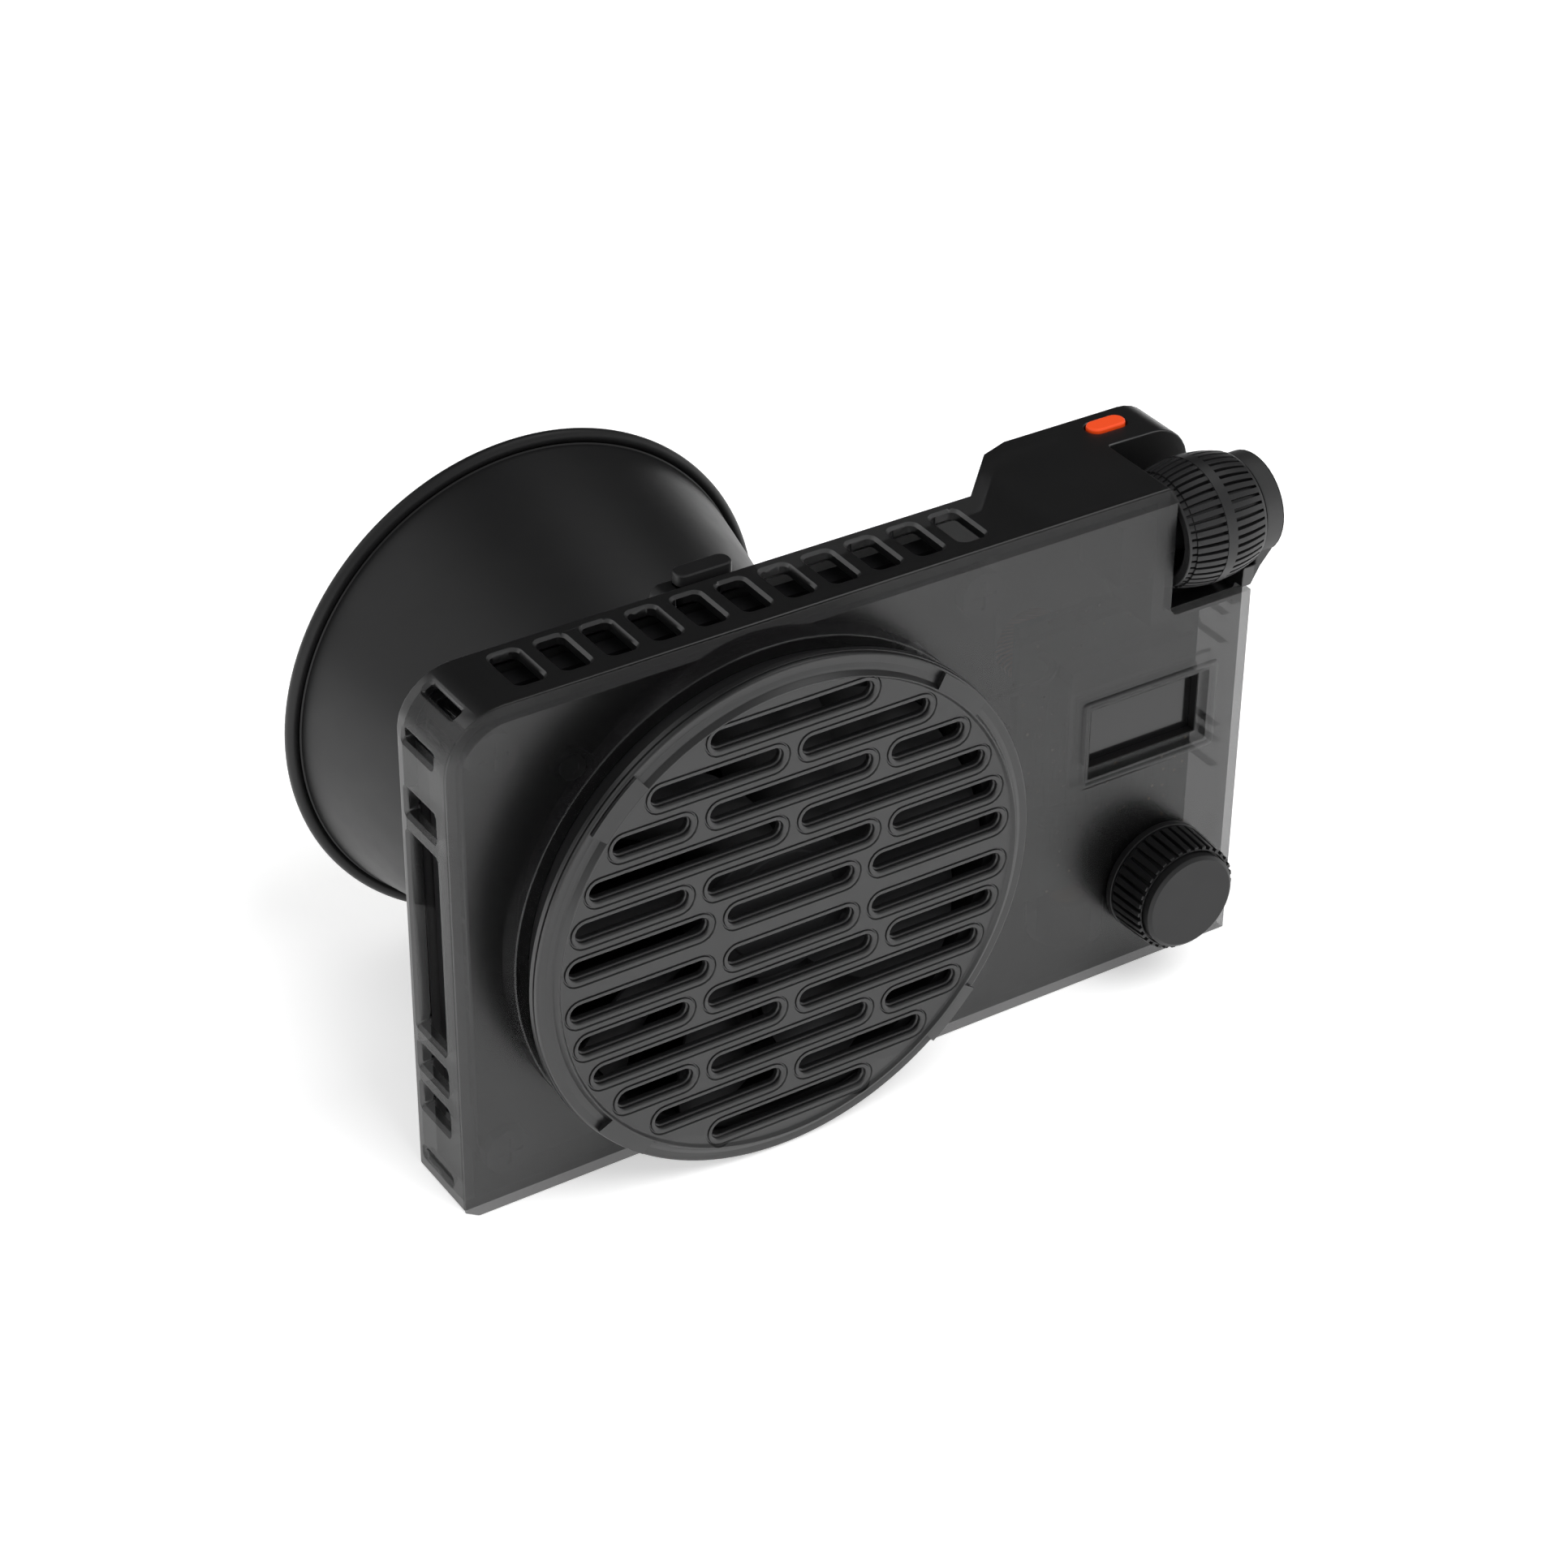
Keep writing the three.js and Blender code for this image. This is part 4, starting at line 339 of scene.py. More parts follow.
def circuit_finish(name, tone):
    """Solder mask over copper tracks, with pads."""
    finish = Finish(name)
    cells = finish.cells(2.4 * MM, 0.7)
    tracks = finish.ramp(cells, 0.42, 0.46)
    pads = finish.ramp(cells, 0.13, 0.1)
    masked = finish.mix(tracks, tone, tinted(tone, 2.1))
    return finish.surface({
        "Base Color": finish.mix(pads, masked, (0.42, 0.3, 0.14)),
        "Metallic": pads,
        "Roughness": 0.42 - pads * 0.15,
        "Normal": finish.bump(tracks, 0.03 * MM),
    })


def winding_finish(name, tone):
    """Enamelled wire laid turn by turn, with painted shade in the crevices between turns."""
    finish = Finish(name)
    wire = 0.5 * MM
    turns = finish.node("ShaderNodeTexWave", {"wave_type": "BANDS", "bands_direction": "DIAGONAL"},
                        {"Vector": finish.place(), "Scale": 0.3 / wire, "Distortion": 0.6}, 1)
    return finish.surface({
        # The colour darkens to a third where the bands dip: painted shade in the crevices between
        # wire turns.
        "Base Color": finish.mix(turns, tinted(tone, 0.35), tone),
        "Metallic": 0.8,
        "Roughness": 0.5 - turns * 0.2,
        "Normal": finish.bump(turns, 0.12 * MM),
    })


def phosphor_finish(name):
    """Yellow phosphor under clear silicone, with the faint grid of the chips below."""
    finish = Finish(name)
    grid = finish.ramp(finish.cells(1.5 * MM), 0.38, 0.48)
    return finish.surface({
        "Base Color": finish.mix(grid, (0.86, 0.62, 0.09), (0.66, 0.43, 0.04)),
        "Roughness": 0.32 + grid * 0.1,
        "Coat Weight": 0.6,
        "Normal": finish.bump(finish.noise(0.5 * MM), 0.01 * MM),
    })


def display_finish(name):
    """Dark display glass over an unlit panel with a faint grid of dots."""
    finish = Finish(name)
    dots = finish.ramp(finish.cells(0.2 * MM), 0.3, 0.5)
    return finish.surface({
        "Base Color": finish.mix(dots, (0.007, 0.007, 0.0073), (0.005, 0.005, 0.0052)),
        "Roughness": 0.12 + finish.noise(3 * MM, 3) * 0.04,
        "IOR": 1.6,
    })


def clear_finish(name):
    finish = Finish(name)
    dust = finish.noise(1.2 * MM, 5)
    return finish.surface({
        "Base Color": (0.9, 0.94, 0.93),
        "Roughness": 0.03 + dust * 0.05,
        "Alpha": 0.1 + dust * 0.06,
        "IOR": 1.52,
    })


# Outlines, as points across an axis, and profiles, as pairs of a radius and a height


def stations(start, stop, steps):
    """Even stations from one value to another, both ends included."""
    return [start + (stop - start) * k / steps for k in range(steps + 1)]


def arc(u, v, radius, start, stop, steps):
    return [(u + radius * math.cos(a), v + radius * math.sin(a))
            for a in stations(start, stop, steps)]


def circle(u, v, radius, steps):
    return arc(u, v, radius, 0, FULL_TURN, steps)[:-1] if radius > 0 else [(u, v)]


def rectangle(u0, v0, u1, v1):
    return [(u0, v0), (u1, v0), (u1, v1), (u0, v1)]


def boxed(u0, v0, u1, v1, radii, steps=6):
    """A rectangle with the radii of its low-right, high-right, high-left and low-left corners."""
    centres = [(u1, v0, -1, 1, -90), (u1, v1, -1, -1, 0), (u0, v1, 1, -1, 90), (u0, v0, 1, 1, 180)]
    points = []
    for (u, v, to_u, to_v, start), radius in zip(centres, radii):
        if radius <= 0:
            points += [(u, v)] * (steps + 1)
            continue
        first = math.radians(start)
        points += arc(u + to_u * radius, v + to_v * radius, radius, first,
                      first + math.pi / 2, steps)
    return points


def inset_box(low, high, inset, radius=0.0, steps=6):
    """A rectangle between two corners, drawn in by an inset, with four like corners."""
    return boxed(low[0] + inset, low[1] + inset, high[0] - inset, high[1] - inset,
                 [radius] * 4, steps)


def stadium(u, v, half, radius, steps=10):
    quarter = math.pi / 2
    return (arc(u + half, v, radius, -quarter, quarter, steps)
            + arc(u - half, v, radius, quarter, 3 * quarter, steps))


def filleted(points, radius=0.0, steps=4, looped=False):
    """A profile with rounded corners; a point's third value is its own radius."""
    result = []
    for i, point in enumerate(points):
        own = point[2] if len(point) > 2 else radius
        here = Vector(point[:2])
        if own == 0 or (not looped and i in (0, len(points) - 1)):
            result.append(tuple(here))
            continue
        back = Vector(points[i - 1][:2]) - here
        ahead = Vector(points[(i + 1) % len(points)][:2]) - here
        reach = min(own / math.tan(back.angle(ahead) / 2), back.length * 0.48, ahead.length * 0.48)
        start = here + back.normalized() * reach
        stop = here + ahead.normalized() * reach
        result += [tuple((1 - t) ** 2 * start + 2 * t * (1 - t) * here + t * t * stop)
                   for t in stations(0, 1, steps)]
    return result


# Meshes

TO_WORLD = {
    "X": lambda u, v, w: (w, u, v),
    "Y": lambda u, v, w: (u, w, v),
    "Z": lambda u, v, w: (u, v, w),
}


def linked(name, data):
    """A new object in the scene, at the origin."""
    made = bpy.data.objects.new(name, data)
    bpy.context.scene.collection.objects.link(made)
    return made


def from_bmesh(name, bm):
    mesh = bpy.data.meshes.new(name)
    bm.to_mesh(mesh)
    bm.free()
    return linked(name, mesh)


def skinned(name, rings, looped=False):
    """A skin over rings of points; a ring of one point closes an end."""
    bm = bmesh.new()
    rows = [[bm.verts.new(point) for point in ring] for ring in rings]
    pairs = list(zip(rows, rows[1:]))
    if looped:
        pairs.append((rows[-1], rows[0]))
    for first, second in pairs:
        count = max(len(first), len(second))
        for i in range(count):
            j = (i + 1) % count
            corners = [first[i % len(first)], first[j % len(first)],
                       second[j % len(second)], second[i % len(second)]]
            corners = list(dict.fromkeys(corners))
            if len(corners) > 2:
                bm.faces.new(corners)
    if not looped:
        for row in (rows[0], rows[-1]):
            if len(row) > 2:
                bm.faces.new(row)
    bmesh.ops.remove_doubles(bm, verts=bm.verts, dist=MERGE_GAP)
    bmesh.ops.recalc_face_normals(bm, faces=bm.faces)
    return from_bmesh(name, bm)


def lofted(name, axis, sections, looped=False):
    """A skin over outlines, each given with its place along an axis."""
    to_world = TO_WORLD[axis]
    return skinned(name, [[to_world(u, v, w) for u, v in outline] for outline, w in sections],
                   looped)


def stepped(name, axis, outline, steps, looped=False):
    """A skin over one outline, a function of its inset, at pairs of an inset and a place."""
    return lofted(name, axis, [(outline(inset), place) for inset, place in steps], looped)


def rounded_slab(name, axis, outline, low, high, edge, steps=3):
    """A slab whose two faces have rounded edges; outline is a function of its inset."""
    turns = stations(0, math.pi / 2, steps)
    first = [(edge * (1 - math.sin(t)), low + edge * (1 - math.cos(t))) for t in turns]
    last = [(edge * (1 - math.cos(t)), high - edge * (1 - math.sin(t))) for t in turns]
    return stepped(name, axis, outline, first + last)


def turned(name, axis, profile, centre, steps=128):
    """A turned piece; off the axis, the profile closes on itself."""
    sections = [(circle(*centre, radius, steps), height) for radius, height in profile]
    return lofted(name, axis, sections, looped=profile[0][0] > 0)


def sector(name, axis, centre, profile, middle, half, steps):
    """A stretch of a turned piece, some degrees to both sides of a middle angle."""
    to_world = TO_WORLD[axis]
    u, v = centre
    angles = stations(math.radians(middle - half), math.radians(middle + half), steps)
    return skinned(name, [[to_world(u + radius * math.cos(angle), v + radius * math.sin(angle), w)
                           for radius, w in profile] for angle in angles])


def freeze(piece):
    """Applies a piece's modifiers and leaves a plain mesh."""
    graph = bpy.context.evaluated_depsgraph_get()
    mesh = bpy.data.meshes.new_from_object(piece.evaluated_get(graph))
    piece.modifiers.clear()
    piece.data = mesh


def joined(name, pieces):
    """Puts separate shells in one object."""
    bm = bmesh.new()
    for piece in pieces:
        bm.from_mesh(piece.data)
        bpy.data.objects.remove(piece)
    return from_bmesh(name, bm)


def combined(base, adds=(), cuts=()):
    """Joins pieces to a closed piece and cuts others out of it."""
    for operation, others in (("UNION", adds), ("DIFFERENCE", cuts)):
        for other in others:
            modifier = base.modifiers.new(operation, "BOOLEAN")
            modifier.operation = operation
            modifier.solver = "EXACT"
            modifier.object = other
    freeze(base)
    for other in (*adds, *cuts):
        bpy.data.objects.remove(other)
    return base


def copied(node, name):
    """A merged copy of a frame node, with its flat stretches made whole."""
    bm = bmesh.new()
    bm.from_mesh(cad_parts[node].data)
    bmesh.ops.remove_doubles(bm, verts=bm.verts, dist=MERGE_GAP)
    bmesh.ops.dissolve_limit(bm, angle_limit=FLAT_ANGLE, verts=bm.verts, edges=bm.edges)
    return from_bmesh(name, bm)


def soften(piece, width, angle=48, segments=2):
    """Rounds a piece's edges that turn by more than an angle in degrees."""
    bevel = piece.modifiers.new("edges", "BEVEL")
    bevel.width = width
    bevel.segments = segments
    bevel.limit_method = "ANGLE"
    bevel.angle_limit = math.radians(angle)
    bevel.use_clamp_overlap = False
    bevel.miter_outer = "MITER_ARC"
    freeze(piece)


def finished(piece, body, finish, slot, *nodes, sharp=38):
    """Shades a piece, gives it its finish and ties it to its body and nodes."""
    mesh = piece.data
    mesh.polygons.foreach_set("use_smooth", [True] * len(mesh.polygons))
    mesh.set_sharp_from_angle(angle=math.radians(sharp))
    shading = piece.modifiers.new("shading", "WEIGHTED_NORMAL")
    shading.keep_sharp = True
    freeze(piece)
    piece.data.materials.clear()
    piece.data.materials.append(finish)
    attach(piece, body)
    if nodes:
        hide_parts(*nodes)


def dress(finish, *nodes):
    """Gives frame nodes a finish."""
    for node in nodes:
        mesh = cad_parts[node].data
        mesh.materials.clear()
        mesh.materials.append(finish)


# Repeats, as one geometry node tree

REPEAT_INPUTS = {
    "Geometry": "NodeSocketGeometry",
    "Unit": "NodeSocketObject",
    "Count": "NodeSocketInt",
    "Centre": "NodeSocketVector",
    "Offset": "NodeSocketVector",
    "Turn": "NodeSocketVector",
    "Finish": "NodeSocketMaterial",
}


def repeat_tree():
    """Sets copies of a unit along a line or round a centre."""
    tree = bpy.data.node_groups.new("Repeated unit", "GeometryNodeTree")
    for label, kind in REPEAT_INPUTS.items():
        tree.interface.new_socket(label, in_out="INPUT", socket_type=kind)
    tree.interface.new_socket("Geometry", in_out="OUTPUT", socket_type="NodeSocketGeometry")
    nodes = {}

    def add(key, kind, links, **settings):
        node = nodes[key] = tree.nodes.new(kind)
        for name, value in settings.items():
            setattr(node, name, value)
        for socket, (source, output) in links.items():
            tree.links.new(nodes[source].outputs[output], node.inputs[socket])

    add("in", "NodeGroupInput", {})
    add("index", "GeometryNodeInputIndex", {})
    add("unit", "GeometryNodeObjectInfo", {"Object": ("in", "Unit")})
    add("back", "ShaderNodeVectorMath", {0: ("in", "Centre")}, operation="SCALE")
    nodes["back"].inputs["Scale"].default_value = -1
    add("moved", "GeometryNodeTransform",
        {"Geometry": ("unit", "Geometry"), "Translation": ("back", 0)})
    add("step", "ShaderNodeVectorMath", {0: ("in", "Offset"), "Scale": ("index", 0)},
        operation="SCALE")
    add("spot", "ShaderNodeVectorMath", {0: ("in", "Centre"), 1: ("step", 0)}, operation="ADD")
    add("points", "GeometryNodePoints", {"Count": ("in", "Count"), "Position": ("spot", 0)})
    add("angle", "ShaderNodeVectorMath", {0: ("in", "Turn"), "Scale": ("index", 0)},
        operation="SCALE")
    add("turn", "FunctionNodeEulerToRotation", {0: ("angle", 0)})
    add("copies", "GeometryNodeInstanceOnPoints",
        {"Points": ("points", 0), "Instance": ("moved", 0), "Rotation": ("turn", 0)})
    add("real", "GeometryNodeRealizeInstances", {0: ("copies", 0)})
    add("finish", "GeometryNodeSetMaterial", {"Geometry": ("real", 0), "Material": ("in", "Finish")})
    add("out", "NodeGroupOutput", {0: ("finish", 0)})
    return tree


def repeated(name, unit, count, finish, centre=(0, 0, 0), offset=(0, 0, 0), turn=(0, 0, 0)):
    """Copies of a unit, each moved by an offset and turned about a centre."""
    tree = bpy.data.node_groups.get("Repeated unit") or repeat_tree()
    host = linked(name, bpy.data.meshes.new(name))
    modifier = host.modifiers.new("copies", "NODES")
    modifier.node_group = tree
    values = {"Unit": unit, "Count": count, "Centre": centre, "Offset": offset, "Turn": turn,
              "Finish": finish}
    for item in tree.interface.items_tree:
        if item.in_out == "INPUT" and item.name in values:
            modifier[item.identifier] = values[item.name]
    freeze(host)
    bpy.data.objects.remove(unit)
    return host


def ringed(name, unit, count, finish, axis, centre):
    """Copies of a unit, spread evenly round an axis."""
    to_world = TO_WORLD[axis]
    return repeated(name, unit, count, finish, centre=to_world(*centre, 0),
                    turn=to_world(0, 0, FULL_TURN / count))


class LightOperator:
    """Shared settings of the operators that build the light."""
    bl_options = {"REGISTER", "UNDO"}

    def execute(self, context):
        self.build(context.scene.light_sizes, context.scene.light_colours)
        return {"FINISHED"}


# The stage

CAMERA_PLACE = Vector((-274.3, -441.8, 403.8)) * MM
CAMERA_TURN = [math.radians(angle) for angle in (56.471, -0.415, -32.597)]
CAMERA_LENS_MM = 91.0
SENSOR_MM = 36.0
CLIP_START = 0.01
FLOOR_SIDE = 12.0
FLOOR_DROP = 0.05 * MM
FLOOR_LIFT = 0.46
SUN_STRENGTH = 1.75
SUN_SPREAD = math.radians(38)
SUN_FROM = Vector((0.22, -0.52, 0.84))
PANEL_POWER = 3.0
PANEL_SIDE = 0.5
PANEL_FROM = Vector((-0.95, -0.1, 0.36))
AMBIENT = 0.5
# The room in the reflections: its tones, where they fade, and its softboxes, each with its
# direction, the angles in degrees at which it starts and is full, and its strength
ROOM_HORIZON = 0.85
ROOM_NEAR = 0.42
ROOM_DARK = 0.02
HORIZON_FADE = (0.0, 0.42)
NEAR_FADE = (-0.2, 0.5)
SOFTBOXES = (((0.5, 0.14, 0.85), 20, 8, 1.2), ((-0.62, 0.55, 0.5), 38, 15, 0.85))


def world_light():
    """White where it is seen and grey where it lights; reflections find a dark room with lamps."""
    world = Finish("studio", world=True)
    place = world.node("ShaderNodeTexCoord", output="Generated")

    def fade(axis, low, high):
        part = world.node("ShaderNodeSeparateXYZ", inputs={0: place}, output=axis)
        return world.ramp(part, low, high, 1.0, 0.0)

    horizon = fade("Z", *HORIZON_FADE) * ROOM_HORIZON + ROOM_NEAR
    mirrored = fade("Y", *NEAR_FADE) * horizon + ROOM_DARK
    for direction, wide, narrow, strength in SOFTBOXES:
        aim = tuple(Vector(direction).normalized())
        toward = world.node("ShaderNodeVectorMath", {"operation": "DOT_PRODUCT"},
                            {0: place, 1: aim}, "Value")
        edges = (math.cos(math.radians(angle)) for angle in (wide, narrow))
        mirrored = mirrored + world.ramp(toward, *edges) * strength
    seen = world.rays("Camera", "Transmission")
    glossy = world.rays("Glossy")
    lighting = (1 - glossy) * AMBIENT + glossy * mirrored
    return world.surface({"Color": (1, 1, 1), "Strength": seen + (1 - seen) * lighting})


def paper_finish(colours):
    """A pale floor that lifts to white where it is seen, and keeps its shadows."""
    finish = Finish("paper")
    fibres = finish.noise(0.6 * MM, 3)
    return finish.surface({
        "Base Color": colours.paper,
        "Roughness": 0.9,
        "Specular IOR Level": 0.0,
        "Emission Color": (1, 1, 1),
        "Emission Strength": finish.rays("Camera", "Transmission", "Glossy") * FLOOR_LIFT,
        "Normal": finish.bump(fibres, 0.001 * MM),
    })


def lamp(name, kind, strength, place, **settings):
    """A lamp aimed at the origin, which no reflection shows."""
    data = bpy.data.lights.new(name, kind)
    data.energy = strength
    for key, value in settings.items():
        setattr(data, key, value)
    holder = linked(name, data)
    holder.location = place
    holder.visible_glossy = False
    holder.rotation_euler = place.to_track_quat("Z", "Y").to_euler()


class LIGHT_OT_stage(LightOperator, Operator):
    """Sets the floor, the studio light and the camera."""
    bl_idname = "light.stage"
    bl_label = "Stage"

    def build(self, sizes, colours):
        half = FLOOR_SIDE / 2
        corners = [(u, v, -FLOOR_DROP) for u, v in rectangle(-half, -half, half, half)]
        mesh = bpy.data.meshes.new("floor")
        mesh.from_pydata(corners, [], [(0, 1, 2, 3)])
        mesh.materials.append(paper_finish(colours))
        linked("floor", mesh)
        lamp("sun", "SUN", SUN_STRENGTH, SUN_FROM, angle=SUN_SPREAD)
        lamp("left_panel", "AREA", PANEL_POWER, PANEL_FROM, shape="SQUARE", size=PANEL_SIDE)
        data = bpy.data.cameras.new("camera")
        data.lens = CAMERA_LENS_MM
        data.sensor_width = SENSOR_MM
        data.clip_start = CLIP_START
        camera = linked("camera", data)
        camera.location = CAMERA_PLACE
        camera.rotation_euler = CAMERA_TURN
        bpy.context.scene.camera = camera
        bpy.context.scene.world = world_light()
        bpy.context.scene.view_settings.view_transform = "Standard"


# The case

RING_REAR = COVER_LOW.y
TURRET_BORE = 41 * MM
TURRET_RADIUS = 45.3 * MM
DISPLAY_LOW = (64.9 * MM, 41.4 * MM)
DISPLAY_HIGH = (90.3 * MM, 56.0 * MM)
DISPLAY_LEDGE = 1.5 * MM
VENT_OVERRUN = 0.3 * MM
SIDE_ROUND = 0.5 * MM
SIDE_VENTS_MM = ((12, 18), (20, 26), (28, 66), (68, 74), (81.2, 84.7))
FOOT_NOTCH_MM = (2, 5)
CORNER_VENT_ANGLE = math.radians(57)
CORNER_VENT_HALF = 1.5 * MM
EAR_LEFT = WHEEL_HIGH.x + 0.3 * MM
EAR_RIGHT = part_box("front_case")[1].x
EAR_BORE = 2.1 * MM
EAR_RADIUS = 8.71 * MM


def display_outline(inset, radius=0.3 * MM):
    return inset_box(DISPLAY_LOW, DISPLAY_HIGH, inset, radius, 3)


def cover_plate(sizes):
    """The plain cover; its chamfer runs along its left and top edges only."""
    rear = COVER_REAR
    chamfer = sizes.cover_chamfer
    soft = 0.12 * MM

    def outline(inset):
        plain = min(inset, 0.1 * MM)
        return boxed(COVER_LOW.x + inset, COVER_LOW.z + plain, COVER_HIGH.x - plain,
                     COVER_HIGH.z - inset, [0, 0, sizes.corner_left - inset, 0], 14)

    return stepped("rear_cover_shell", "Y", outline, [
        (chamfer + soft, rear), (chamfer - soft, rear + soft), (soft, rear + chamfer - soft),
        (0, rear + chamfer + soft), (0, rear + sizes.wall),
    ])


def cover_raised(sizes):
    """The turret's ring, the rim behind the display and the rolled frame round it."""
    rear = COVER_REAR
    seat = rear + sizes.wall - 0.1 * MM
    rim = 1.6 * MM
    rim_front = rear + 3 * MM
    width = sizes.frame_width
    corner = 1.0 * MM
    foot = rear + 0.4 * MM
    ring = turned("ring", "Y", filleted([
        (TURRET_BORE, seat), (TURRET_BORE, RING_REAR), (TURRET_RADIUS, RING_REAR),
        (TURRET_RADIUS, seat),
    ], 0.35 * MM), OPTICAL_AXIS)
    surround = stepped("surround", "Y", display_outline,
                       [(-rim, rear + sizes.wall / 2), (-rim, rim_front)])
    roll = [(width * (1 + math.cos(turn)) / 2, sizes.frame_rise * math.sin(turn) ** 2)
            for turn in stations(0, math.pi, 12)[1:-1]]
    lip = lofted("lip", "Y", [
        (display_outline(-width, corner), foot), (display_outline(-width, corner), rear),
        *((display_outline(-across, 0.3 * MM + across / 2), rear - up) for across, up in roll),
        (display_outline(0), rear), (display_outline(0), foot),
    ])
    return [ring, surround, lip]


def cover_openings(sizes):
    """The turret's bore, the knob's hole, the display's stepped window and the wheel's notch."""
    rear = COVER_REAR
    beyond = rear + sizes.wall + REACH
    knob_bore = 3.7 * MM
    bevel = 0.8 * MM
    ledge_front = rear + 1.4 * MM
    corner = 1.5 * MM
    edge = 0.16 * MM
    skim = 0.01 * MM
    bore = turned("bore", "Y", rectangle(0, RING_REAR - REACH, TURRET_BORE, beyond), OPTICAL_AXIS)
    knob_hole = turned("knob_hole", "Y", rectangle(0, rear - REACH, knob_bore, beyond),
                       KNOB_AXIS, 48)
    mouth = stepped("mouth", "Y", display_outline, [
        (bevel * 0.6, rear - REACH), (bevel * 0.6, rear), (bevel, rear + bevel),
        (bevel, ledge_front),
    ])
    window = stepped("window", "Y", lambda inset: display_outline(inset, 0), [
        (DISPLAY_LEDGE, rear - REACH), (DISPLAY_LEDGE, rear + REACH * 2)])

    def notch(inset):
        return boxed(WELL_LEFT + inset, WELL_LOW + inset, COVER_HIGH.x + REACH,
                     COVER_HIGH.z + REACH, [0, 0, 0, corner])

    gap = stepped("gap", "Y", notch, [
        (-edge, rear - skim), (-edge * 0.3, rear + edge * 0.3), (0, rear + edge), (0, beyond)])
    return [bore, knob_hole, mouth, window, gap]


class LIGHT_OT_rear_cover(LightOperator, Operator):
    """Makes the smoky cover with its chamfer, turret ring, display frame and notch."""
    bl_idname = "light.rear_cover"
    bl_label = "Rear cover"

    def build(self, sizes, colours):
        cover = combined(cover_plate(sizes), cover_raised(sizes), cover_openings(sizes))
        finish = thin_smoke("smoke_cover", colours.smoke, colours.smoke_density)
        finished(cover, "body", finish, "smoke_plastic", "rear_cover", sharp=25)


def vent_sections(sizes, low, high, bevel, radius):
    """Outlines across the wall and their heights over it: the opening, its bevel and a lead-out."""
    near = (low, COVER_REAR + sizes.vent_rear)
    far = (high, -COVER_REAR - sizes.vent_front)
    steps = ((bevel, -sizes.wall - VENT_OVERRUN), (bevel, -bevel), (0, 0),
             (-VENT_OVERRUN, VENT_OVERRUN))
    return [(inset_box(near, far, inset, radius + bevel - inset), height)
            for inset, height in steps]


def top_vents(sizes, finish):
    first = COVER_LOW.x + sizes.vent_first
    half = sizes.vent_width / 2
    sections = vent_sections(sizes, first - half, first + half, sizes.vent_bevel, sizes.vent_round)
    unit = lofted("mouth", "Z", [(outline, COVER_HIGH.z + height) for outline, height in sections])
    return repeated("mouths", unit, sizes.vent_count, finish, offset=(sizes.vent_pitch, 0, 0))


def side_vent(sizes, low, high, blind=False):
    """A vent in the left wall between two heights, or a blind notch as deep as its bevel."""
    sections = vent_sections(sizes, low * MM, high * MM, sizes.side_bevel, SIDE_ROUND)
    if blind:
        sections = sections[1:]
    return skinned("side", [[(COVER_LOW.x - height, y, z) for z, y in outline]
                            for outline, height in sections])


def corner_vent(sizes):
    """The short vent across the rounded corner."""
    radius = sizes.corner_left
    vent = lofted("corner", "Z", vent_sections(
        sizes, -CORNER_VENT_HALF, CORNER_VENT_HALF, sizes.side_bevel, SIDE_ROUND))
    vent.data.transform(
        Matrix.Translation((COVER_LOW.x + radius, 0, COVER_HIGH.z - radius))
        @ Matrix.Rotation(CORNER_VENT_ANGLE - math.pi / 2, 4, "Y")
        @ Matrix.Translation((0, 0, radius)))
    return vent


class LIGHT_OT_front_case(LightOperator, Operator):
    """Makes the front case with bevelled vents, soft edges and its inner walls."""
    bl_idname = "light.front_case"
    bl_label = "Front case"

    def build(self, sizes, colours):
        case = copied("front_case", "front_case_shell")
        finish = case_smoke("smoke_case", colours)
        vents = [top_vents(sizes, finish)]
        vents += [side_vent(sizes, low, high) for low, high in SIDE_VENTS_MM]
        vents += [side_vent(sizes, *FOOT_NOTCH_MM, blind=True), corner_vent(sizes)]
        ear = sector("ear", "X", WHEEL_AXIS,
                     rectangle(EAR_BORE, EAR_LEFT, EAR_RADIUS, EAR_RIGHT), 90, 132, 90)
        combined(case, [ear], [joined("vents", vents)])
        soften(case, sizes.edge)
        finished(case, "body", finish, "smoke_plastic", "front_case", sharp=30)


# The turret

CAP_RADIUS = CAP_HIGH.x - OPTICAL_AXIS[0]
CAP_FACE = CAP_LOW.y + 0.6 * MM
CAP_INSIDE = CAP_FACE + 1.8 * MM
CAP_EDGE = CAP_HIGH.y - 2 * MM
RIDGE = 42 * MM


def cap_plate():
    """The cap: a flat face in a ridge, a slope with a step, and a grooved edge."""
    rear = CAP_LOW.y
    front = CAP_HIGH.y
    slope_mm = ((0.22, 0.02, 0.12), (0.75, 1.05, 0.15), (1.2, 1.12, 0.4), (1.85, 1.34, 0.25))
    groove_mm = ((0.16, 0.75), (0.5, 0.85), (0.5, 1.02), (0.1, 1.12))
    return turned("cap_plate", "Y", filleted([
        (0, CAP_FACE), (RIDGE - 0.4 * MM, CAP_FACE, 0.25 * MM), (RIDGE, rear, 0.12 * MM),
        *((RIDGE + out * MM, rear + along * MM, radius * MM) for out, along, radius in slope_mm),
        (CAP_RADIUS - 0.3 * MM, CAP_EDGE, 0.45 * MM),
        *((CAP_RADIUS - depth * MM, CAP_EDGE + along * MM, 0.04 * MM)
          for depth, along in groove_mm),
        (CAP_RADIUS, front, 0.15 * MM), (TURRET_BORE, front, 0.2 * MM),
        (TURRET_BORE, CAP_INSIDE, 0.3 * MM), (0, CAP_INSIDE),
    ]), OPTICAL_AXIS, 160)


